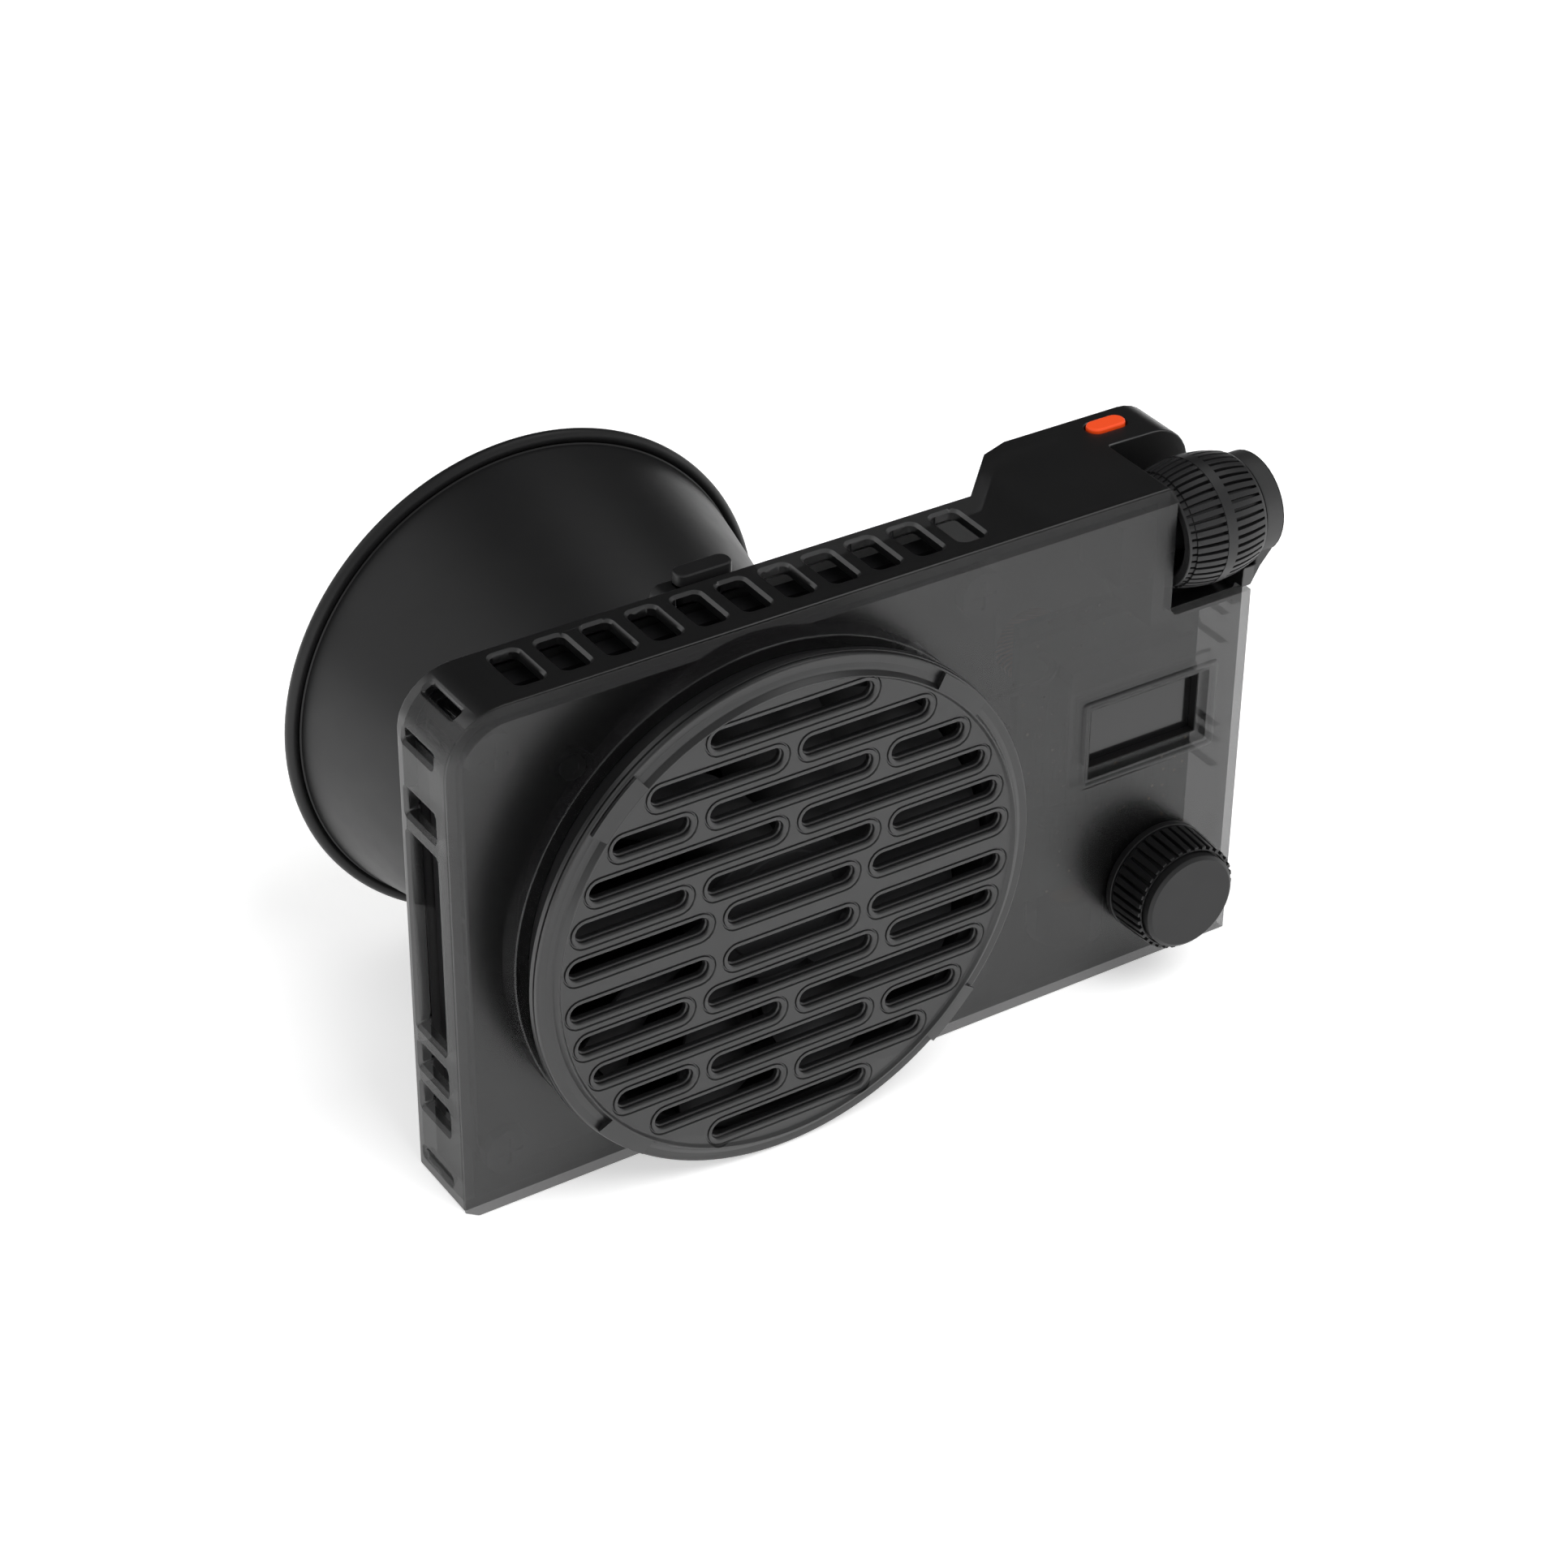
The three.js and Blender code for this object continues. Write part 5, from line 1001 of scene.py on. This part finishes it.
def grille_slots(sizes):
    """Middle, height and half length of each slot; rows with no middle slot meet in the centre."""
    middles = [12.7 * MM, 16.3 * MM, 0, 15.75 * MM, 0, 15.65 * MM]
    first_row = 4 * MM
    radius = sizes.slot_width / 2
    rim = 0.6 * MM
    gap = 1.4 * MM
    slots = []
    for row, middle in enumerate(middles):
        height = first_row + row * sizes.slot_rows
        tip = math.sqrt(sizes.slot_circle ** 2 - height ** 2) + radius
        inner = middle + gap + rim if middle else gap / 2 + rim
        half = (tip - inner) / 2 - radius
        for side in (-1, 1):
            if middle:
                slots.append((0, side * height, middle - rim - radius))
            if row < len(middles) - 1:
                slots += [(end * (inner + tip) / 2, side * height, half) for end in (-1, 1)]
    return slots


def slot_cutters(sizes):
    """Cutters of the slots, with a rounded edge and a ledge, and of the groove round each."""
    x, z = OPTICAL_AXIS
    radius = sizes.slot_width / 2
    rounding = sizes.slot_round
    edge = rounding - sizes.slot_narrow
    ledge = 0.38 * MM
    ledge_drop = 0.34 * MM
    depth = 0.24 * MM
    wall = [(edge, CAP_FACE - REACH)]
    for size, start, drop in ((rounding, edge, 0), (ledge, edge - ledge, rounding + ledge_drop)):
        wall += [(start - size * math.sin(turn), CAP_FACE + drop + size * (1 - math.cos(turn)))
                 for turn in stations(0, math.pi / 2, 4)]
    wall.append((-sizes.slot_narrow - ledge, CAP_INSIDE + REACH))
    inner = edge + sizes.slot_lip
    outer = inner + sizes.slot_line
    groove = [(outer, CAP_FACE - REACH), (outer, CAP_FACE), (outer - 0.16 * MM, CAP_FACE + depth),
              (inner + 0.1 * MM, CAP_FACE + depth), (inner, CAP_FACE), (inner, CAP_FACE - REACH)]
    cutters = []
    for across, height, half in grille_slots(sizes):
        def grown(reach):
            return stadium(x + across, z + height, half, radius + reach)

        cutters.append(stepped("slot", "Y", grown, wall))
        cutters.append(stepped("groove", "Y", grown, groove, looped=True))
    return joined("slots", cutters)


def ridge_tiles(finish):
    """Four smooth tiles on the slope, on the diagonals."""
    rear = CAP_LOW.y
    root = RIDGE + 0.02 * MM
    rim = CAP_RADIUS - 0.6 * MM
    tile = sector("tile", "Y", OPTICAL_AXIS, [
        (root, rear + 0.03 * MM), (RIDGE + 0.8 * MM, rear + 0.1 * MM),
        (rim, CAP_EDGE - 0.75 * MM), (rim, CAP_EDGE - 0.2 * MM), (root, rear + 1.2 * MM),
    ], 45, 7, 8)
    return ringed("tiles", tile, 4, finish, "Y", OPTICAL_AXIS)


class LIGHT_OT_grille(LightOperator, Operator):
    """Makes the turret's cap with its slots, ridge and tiles, and the ring behind it."""
    bl_idname = "light.grille"
    bl_label = "Grille"

    def build(self, sizes, colours):
        finish = thin_smoke("smoke_cap", colours.smoke, colours.cap_density, CAP_IOR)
        plate = combined(cap_plate(), cuts=[slot_cutters(sizes)])
        cap = joined("grille_cap_shell", [plate, ridge_tiles(finish)])
        finished(cap, "body", finish, "smoke_plastic", "grille_cap", sharp=30)

        low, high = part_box("grille_retainer")
        outer = high.x - OPTICAL_AXIS[0]
        step = 1.2 * MM
        retainer = turned("retainer_ring", "Y", filleted([
            (TURRET_BORE, high.y), (TURRET_BORE, low.y), (outer - step, low.y),
            (outer - step, low.y + step), (outer, low.y + step * 1.3), (outer, high.y),
        ], 0.15 * MM, looped=True), OPTICAL_AXIS, 160)
        black = plain_finish("retainer_black", colours.black, 0.34)
        finished(retainer, "body", black, "black_plastic", "grille_retainer")


def fan_blade(rear, front, root, tip):
    """One blade, swept and longer towards its tip, with a bow along each section."""
    x, z = OPTICAL_AXIS
    root_chord = 12.6 * MM
    chord_growth = 7.5 * MM
    sweep = math.radians(16)
    sweep_power = 1.4
    margin = 0.8 * MM
    bow_depth = 1.1 * MM
    edge_half = 0.28 * MM
    middle_half = 0.5 * MM
    sections = []
    for part in stations(0, 1, 6):
        radius = root + (tip - root) * part
        chord = root_chord + chord_growth * part
        lead = sweep * part ** sweep_power
        outline = []
        for side in (1, -1):
            for t in stations(0, 1, 8)[::side]:
                bow = math.sin(math.pi * t)
                y = (rear + margin + t * (front - rear - 2 * margin) - bow_depth * bow
                     + (edge_half + middle_half * bow) * side)
                angle = lead + (t - 0.5) * chord / radius
                outline.append((x + radius * math.cos(angle), y, z + radius * math.sin(angle)))
        sections.append(outline)
    return skinned("blade", sections)


class LIGHT_OT_fan(LightOperator, Operator):
    """Makes the fan's rotor with curved blades."""
    bl_idname = "light.fan"
    bl_label = "Fan"

    def build(self, sizes, colours):
        low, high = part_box("fan_rotor")
        rear = low.y
        front = high.y
        hub = 13.5 * MM
        wall = 1.2 * MM
        dish = 0.25 * MM
        sunk = 0.55 * MM
        # The fan's black is painted five times lighter: painted light that stands in for the light
        # its shaded place inside the case lacks.
        finish = plain_finish("fan_black", tinted(colours.black, 5), 0.5, specular=0.2)
        cup = turned("cup", "Y", filleted([
            (0, rear), (hub * 0.72, rear, 0.1 * MM), (hub * 0.74, rear + dish, 0.1 * MM),
            (hub - 0.4 * MM, rear + dish, 0.3 * MM), (hub, rear + wall, 0.8 * MM),
            (hub, front, 0.2 * MM), (hub - wall, front, 0.2 * MM),
            (hub - wall, rear + wall, 0.2 * MM), (0, rear + wall),
        ]), OPTICAL_AXIS, 96)
        blade = fan_blade(rear, front, hub - sunk, high.z - OPTICAL_AXIS[1])
        blades = ringed("blades", blade, sizes.blades, finish, "Y", OPTICAL_AXIS)
        rotor = joined("rotor", [cup, blades])
        finished(rotor, "fan", finish, "black_plastic", "fan_rotor", sharp=45)


# The controls


def rib_outline(centre, root, reach, half, radius):
    """A rib seen along its axis, with its two outer corners rounded."""
    return [(centre[0] + u, centre[1] + v)
            for u, v in boxed(root, -half, reach, half, [radius, radius, 0, 0], 2)]


class LIGHT_OT_knob(LightOperator, Operator):
    """Makes the ribbed knob and its smooth cap."""
    bl_idname = "light.knob"
    bl_label = "Control knob"

    def build(self, sizes, colours):
        front = KNOB_HIGH.y
        rear = KNOB_LOW.y
        collar = KNOB_HIGH.x - KNOB_AXIS[0]
        band = front - 1.4 * MM
        core = 9.35 * MM
        recess = 9.05 * MM
        lip = rear + 0.05 * MM
        floor = rear + 0.85 * MM
        body = turned("body", "Y", filleted([
            (0, front), (collar, front, 0.25 * MM), (collar, band + 0.12 * MM, 0.12 * MM),
            (core + 0.1 * MM, band, 0.05 * MM), (core, band - 0.1 * MM), (core, lip, 0.1 * MM),
            (recess, lip, 0.1 * MM), (recess, floor, 0.05 * MM), (0, floor),
        ]), KNOB_AXIS, 144)
        finish = plain_finish("knob_black", colours.black, 0.36, grain=0.16 * MM)

        def rib(reach, share=1.0):
            return rib_outline(KNOB_AXIS, core - 0.2 * MM, reach, sizes.knob_rib / 2 * share,
                               0.14 * MM)

        wide = collar - 0.1 * MM
        slim = collar - 0.42 * MM
        unit = lofted("rib", "Y", [
            (rib(slim - 0.12 * MM, 0.58), rear), (rib(slim, 0.66), rear + 0.12 * MM),
            (rib((wide + slim) / 2 + 0.05 * MM, 0.88), (rear + band) / 2),
            (rib(wide), band - 0.35 * MM), (rib(wide - 0.35 * MM), band + 0.02 * MM),
        ])
        ribs = ringed("ribs", unit, sizes.knob_ribs, finish, "Y", KNOB_AXIS)
        knob = joined("ribbed_knob", [body, ribs])
        finished(knob, "knob", finish, "black_plastic", "control_knob")

        low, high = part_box("knob_cap")
        radius = high.x - KNOB_AXIS[0]
        cap = turned("knob_cap_disc", "Y", filleted([
            (0, low.y), (radius - 0.62 * MM, low.y, 0.1 * MM), (radius, low.y + 0.45 * MM, 0.2 * MM),
            (radius, high.y, 0.05 * MM), (0, high.y),
        ]), KNOB_AXIS, 144)
        rubber = plain_finish("knob_rubber", tinted(colours.rubber, 0.7), 0.46, grain=0.12 * MM,
                              specular=0.42)
        finished(cap, "knob", rubber, "black_rubber", "knob_cap")


class LIGHT_OT_thumbwheel(LightOperator, Operator):
    """Makes the barrel-shaped thumbwheel with its smooth band."""
    bl_idname = "light.thumbwheel"
    bl_label = "Thumbwheel"

    def build(self, sizes, colours):
        left = WHEEL_LOW.x
        right = WHEEL_HIGH.x
        middle = (left + right) / 2
        half_length = (right - left) / 2
        top = 10.9 * MM
        end = 9.4 * MM
        band_left = 88.2 * MM
        band_right = 90.1 * MM
        band_radius = top + 0.04 * MM
        groove = sizes.wheel_groove
        rim = 0.45 * MM
        axle = 2.4 * MM
        sleeve = 4 * MM
        dish = 7.4 * MM
        dish_floor = left + 5 * MM
        sleeve_end = left + 0.3 * MM

        def barrel(at):
            return top - (top - end) * ((at - middle) / half_length) ** 2

        def grooved(start, stop):
            return [(barrel(at) - groove, at) for at in stations(start, stop, 6)]

        core = turned("core", "X", [
            (sleeve, dish_floor), (sleeve, sleeve_end), (axle, sleeve_end), (axle, right),
            (barrel(right) - groove * 0.5, right), (barrel(right), right - 0.35 * MM),
            (barrel(right - rim), right - rim * 2), *grooved(right - rim * 2, band_right),
            (band_radius, band_right), (band_radius, band_left), *grooved(band_left, left + rim),
            (barrel(left), left + rim), (barrel(left), left + 0.12 * MM),
            (barrel(left) - 0.12 * MM, left), (dish + 0.5 * MM, left), (dish, left + 0.4 * MM),
            (dish, dish_floor),
        ], WHEEL_AXIS, 135)
        finish = plain_finish("wheel_rubber", colours.rubber, 0.44, grain=0.14 * MM)
        step = left + rim + sizes.wheel_step
        step_start = left + rim * 0.8
        step_drop = 0.3 * MM

        def rib(at, drop=0.0):
            return rib_outline(WHEEL_AXIS, barrel(at) - groove - 0.4 * MM, barrel(at) - drop,
                               sizes.wheel_rib / 2, 0.07 * MM)

        def ribbed(start, stop, first=()):
            return lofted("rib", "X", [*first, *((rib(at), at) for at in stations(start, stop, 5))])

        low_end = [(rib(step_start, step_drop), step_start), (rib(step, step_drop), step - 0.02 * MM)]
        units = [ribbed(step, band_left + 0.05 * MM, low_end),
                 ribbed(band_right - 0.05 * MM, right - rim * 2.2)]
        ribs = ringed("ribs", joined("pair", units), sizes.wheel_ribs, finish, "X", WHEEL_AXIS)
        wheel = joined("ribbed_wheel", [core, ribs])
        finished(wheel, "wheel", finish, "black_rubber", "thumbwheel")


class LIGHT_OT_button(LightOperator, Operator):
    """Makes the orange power button with its rounded crown."""
    bl_idname = "light.button"
    bl_label = "Power button"

    def build(self, sizes, colours):
        low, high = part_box("power_button")
        centre = ((low.x + high.x) / 2, (low.y + high.y) / 2)
        radius = 1.75 * MM
        half = 1.9 * MM
        foot = COVER_HIGH.z - sizes.wall - 0.6 * MM
        flange_reach = 0.3 * MM
        stem_radius = 1.2 * MM

        def outline(inset):
            return stadium(*centre, half, radius - inset, 14)

        crown = rounded_slab("crown", "Z", outline, foot, high.z - 0.25 * MM, 0.42 * MM, 5)
        flange = rounded_slab("flange", "Z", lambda inset: outline(inset - flange_reach),
                              foot - 0.5 * MM, foot + 0.4 * MM, 0.1 * MM, 2)
        stem = turned("stem", "Z", rectangle(0, low.z, stem_radius, foot - 0.3 * MM), centre, 32)
        button = joined("button_crown", [crown, flange, stem])
        finish = plain_finish("button_orange", colours.orange, 0.42, grain=0.2 * MM, spread=0.04)
        finished(button, "button", finish, "orange_plastic", "power_button")


class LIGHT_OT_display(LightOperator, Operator):
    """Makes the display's glass and the black gasket that lines its frame."""
    bl_idname = "light.display"
    bl_label = "Display"

    def build(self, sizes, colours):
        low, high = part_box("display_window")
        glass = rounded_slab("display_glass", "Y", lambda inset: inset_box(
            low.xz, high.xz, inset, 0.3 * MM, 3), low.y, high.y, 0.08 * MM, 2)
        finished(glass, "body", display_finish("display_dark"), "dark_glass", "display_window")
        inner = DISPLAY_LEDGE + 0.24 * MM
        near = COVER_REAR + 1.45 * MM
        far = low.y - 0.03 * MM
        gasket = stepped("display_gasket", "Y", lambda inset: display_outline(inset, 0),
                         rectangle(DISPLAY_LEDGE + 0.02 * MM, near, inner, far), looped=True)
        black = plain_finish("gasket_black", tinted(colours.black, 0.6), 0.6)
        finished(gasket, "body", black, "black_plastic")


# The front


class LIGHT_OT_reflector(LightOperator, Operator):
    """Makes the deep reflector with its rolled bead, crease, collar, lugs and silver lining."""
    bl_idname = "light.reflector"
    bl_label = "Reflector"

    def build(self, sizes, colours):
        low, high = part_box("reflector")
        wall = sizes.reflector_wall
        bead = sizes.bead
        bead_radius = high.x - OPTICAL_AXIS[0] - bead
        bead_y = high.y - bead
        collar = 29.8 * MM
        start_y = MOUNT_HIGH.y + 0.4 * MM
        end_y = start_y + 45.6 * MM
        start_radius = 31.5 * MM
        end_radius = 43.3 * MM
        bulge = 0.8 * MM
        outside = [(start_radius + (end_radius - start_radius) * part + 4 * bulge * part * (1 - part),
                    start_y + (end_y - start_y) * part) for part in stations(0, 1, 20)]
        crease = [(end_radius + 0.25 * MM, end_y + 0.15 * MM),
                  (end_radius + 0.1 * MM, end_y + 0.5 * MM)]
        roll = arc(bead_radius, bead_y, bead, math.radians(-105), math.radians(150), 14)
        shell = turned("shell", "Y", [
            (collar, low.y + 0.2 * MM), (collar, start_y - 0.4 * MM), (collar + 0.5 * MM, start_y),
            *outside, *crease, *roll, (bead_radius - bead * 1.05, bead_y - 0.2 * MM),
            *((radius - wall, y) for radius, y in reversed(outside)),
            (collar - wall, start_y + wall), (collar - wall, low.y), (collar - 0.2 * MM, low.y),
        ], OPTICAL_AXIS, 180)
        lug_low = MOUNT_LOW.y + 2.2 * MM
        lug_high = lug_low + 2.2 * MM
        lug = sector("lug", "Y", OPTICAL_AXIS,
                     rectangle(collar - wall / 2, lug_low, collar + 2.4 * MM, lug_high), 90, 12, 10)
        finish = plain_finish("reflector_black", colours.black, 0.42, grain=0.09 * MM, specular=0.4)
        lugs = ringed("lugs", lug, 3, finish, "Y", OPTICAL_AXIS)
        whole = joined("reflector_shell", [shell, lugs])
        finished(whole, "reflector", finish, "reflector_shell", "reflector")

        skin = 0.12 * MM
        near = [(radius - wall - 0.02 * MM, y) for radius, y in outside]
        far = [(radius - skin, y) for radius, y in reversed(near)]
        lining = turned("reflector_lining", "Y", near + far, OPTICAL_AXIS, 180)
        silver = Finish("reflector_silver")
        peel = silver.noise(0.8 * MM, 2)
        bright = silver.surface({
            "Base Color": colours.silver,
            "Metallic": 0.92,
            "Roughness": 0.24 + peel * 0.12,
            "Normal": silver.bump(peel, 0.02 * MM),
        })
        finished(lining, "reflector", bright, "reflector_shell")


def mount_ring(finish, latch_left):
    """The bayonet ring with its groove, entries and screw seats, and the boss of the latch."""
    x, z = OPTICAL_AXIS
    rear = MOUNT_LOW.y
    front = MOUNT_HIGH.y
    outer = 38 * MM
    bore = 30.2 * MM
    groove = 32.8 * MM
    back = rear + 1.9 * MM
    lip = back + 2.8 * MM
    ring = turned("mount_ring", "Y", filleted([
        (bore, rear), (outer, rear), (outer, front), (bore, front), (bore, lip, 0),
        (groove, lip, 0), (groove, back, 0), (bore, back, 0),
    ], 0.35 * MM, 3, looped=True), OPTICAL_AXIS, 144)
    boss_half = 5.6 * MM
    boss_low = z + groove + 2 * MM
    boss_top = MOUNT_HIGH.z
    boss_round = 2 * MM
    boss = rounded_slab("boss", "Y", lambda inset: boxed(
        x - boss_half + inset, boss_low, x + boss_half - inset, boss_top - inset,
        [0, boss_round, boss_round, 0]), rear, rear + 4.4 * MM, 0.3 * MM, 3)
    slot = rectangle(latch_left + 0.02 * MM, boss_top - 8.1 * MM, x + 4.2 * MM, boss_top + REACH)
    latch_slot = lofted("slot", "Y", [(slot, rear + 1.3 * MM), (slot, rear + 3.2 * MM)])
    screw_bore = 1.3 * MM
    head = 2.1 * MM
    seat = front - 1.9 * MM
    screw_reach = 35.4 * MM * math.cos(math.pi / 4)
    sink = turned("sink", "Y", [
        (0, rear - REACH), (screw_bore, rear - REACH), (screw_bore, seat), (head, seat),
        (head, front - 0.2 * MM), (head + 0.2 * MM, front), (head + 0.4 * MM, front + REACH),
        (0, front + REACH),
    ], (x + screw_reach, z + screw_reach), 32)
    sinks = ringed("sinks", sink, 4, finish, "Y", OPTICAL_AXIS)
    entry = sector("entry", "Y", OPTICAL_AXIS,
                   rectangle(bore - REACH, back + 1.4 * MM, groove, front + REACH), 0, 14, 12)
    entries = ringed("entries", entry, 3, finish, "Y", OPTICAL_AXIS)
    return combined(ring, [boss], [latch_slot, sinks, entries])


class LIGHT_OT_mount(LightOperator, Operator):
    """Makes the bayonet ring with its boss, and the latch on top."""
    bl_idname = "light.mount"
    bl_label = "Bayonet mount"

    def build(self, sizes, colours):
        low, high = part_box("mount_latch")
        finish = plain_finish("mount_black", colours.black, 0.42, metallic=0.35)
        ring = mount_ring(finish, low.x)
        finished(ring, "body", finish, "black_aluminium", "lamp_mount_ring", sharp=30)

        rear = MOUNT_LOW.y
        tab_low = MOUNT_HIGH.z + 0.2 * MM
        stem_left = 1.6 * MM
        stem_right = 4.0 * MM
        tab = rounded_slab("tab", "Z", lambda inset: inset_box(low.xy, high.xy, inset, 1.5 * MM),
                           tab_low, high.z, 0.3 * MM, 4)
        stem = rounded_slab("stem", "Y", lambda inset: rectangle(
            stem_left + inset, low.z + inset, stem_right - inset, tab_low + 0.6 * MM),
            rear + 1.5 * MM, rear + 3.0 * MM, 0.1 * MM, 1)
        latch = joined("latch_tab", [tab, stem])
        black = plain_finish("latch_black", tinted(colours.black, 1.3), 0.4)
        finished(latch, "latch", black, "black_plastic", "mount_latch")


# What shines through the case


class LIGHT_OT_inside(LightOperator, Operator):
    """Gives the frame's own pieces their finishes."""
    bl_idname = "light.inside"
    bl_label = "Inner pieces"

    def build(self, sizes, colours):
        fan_screws, mount_screws, case_screws = (
            [f"{place}_screw_{i + 1}" for i in range(4)] for place in ("fan", "mount", "case"))
        for name, tone, rough, stretch, nodes in (
                ("tray_steel", (0.05, 0.051, 0.053), 0.4, (1, 8, 8), ["fan_tray"]),
                ("screw_dark", (0.09, 0.09, 0.095), 0.3, (1, 1, 6), case_screws),
                ("screw_bright", (0.42, 0.42, 0.43), 0.26, (1, 1, 6),
                 [*fan_screws, *mount_screws, "fan_shaft", "knob_shaft", "wheel_axle",
                  "latch_spring", "usb_socket"]),
                ("magnet_dark", (0.08, 0.08, 0.085), 0.35, (1, 6, 1),
                 ["fan_magnet", "encoder_body"]),
                ("turned_brass", (0.6, 0.42, 0.16), 0.24, (6, 1, 1),
                 ["fan_bearing", "wheel_bush", "tripod_insert"])):
            dress(brushed_finish(name, tone, rough, stretch), *nodes)
        dress(plain_finish("sink_black", (0.012, 0.012, 0.013), 0.5, grain=0.3 * MM,
                           depth=0.02 * MM, metallic=0.6), "heat_sink")
        dress(winding_finish("copper_wire", (0.42, 0.15, 0.06)), "fan_stator", "inductor")
        dress(circuit_finish("circuit_dark", colours.circuit), "control_board", "driver_board",
              "button_board")
        dress(plain_finish("inner_black", colours.black, 0.5, specular=0.2), "fan_frame",
              "display_module", "display_header", "encoder_plunger", "wheel_encoder",
              "button_switch", "transformer", "usb_tongue")
        dress(plain_finish("sleeve_black", (0.02, 0.02, 0.028), 0.3), "capacitor_1", "capacitor_2")
        dress(plain_finish("lead_sleeve", (0.014, 0.014, 0.015), 0.4), "fan_lead", "led_lead")
        dress(plain_finish("ceramic_white", (0.7, 0.7, 0.68), 0.5, spread=0.04), "cob_board",
              "led_holder")
        dress(phosphor_finish("phosphor_yellow"), "led_emitter")
        dress(clear_finish("front_glass"), "protective_glass")


class LIGHT_PT_pieces(Panel):
    """Lists the pieces of the light and their sizes and colours."""
    bl_idname = "LIGHT_PT_pieces"
    bl_label = "LED light"
    bl_space_type = "VIEW_3D"
    bl_region_type = "UI"
    bl_category = "Light"

    def draw(self, context):
        layout = self.layout
        for operator in OPERATORS:
            layout.operator(operator.bl_idname)
        for group in (context.scene.light_sizes, context.scene.light_colours):
            box = layout.box()
            for key in group.__annotations__:
                box.prop(group, key)


OPERATORS = (
    LIGHT_OT_stage, LIGHT_OT_rear_cover, LIGHT_OT_front_case, LIGHT_OT_grille, LIGHT_OT_fan,
    LIGHT_OT_knob, LIGHT_OT_thumbwheel, LIGHT_OT_button, LIGHT_OT_display, LIGHT_OT_reflector,
    LIGHT_OT_mount, LIGHT_OT_inside,
)
CLASSES = (LightSizes, LightColours, *OPERATORS, LIGHT_PT_pieces)


def register():
    for item in CLASSES:
        bpy.utils.register_class(item)
    bpy.types.Scene.light_sizes = PointerProperty(type=LightSizes)
    bpy.types.Scene.light_colours = PointerProperty(type=LightColours)


def unregister():
    del bpy.types.Scene.light_colours
    del bpy.types.Scene.light_sizes
    for item in reversed(CLASSES):
        bpy.utils.unregister_class(item)


def main():
    register()
    for operator in OPERATORS:
        getattr(bpy.ops.light, operator.bl_idname.split(".")[1])()


if __name__ == "__main__":
    main()
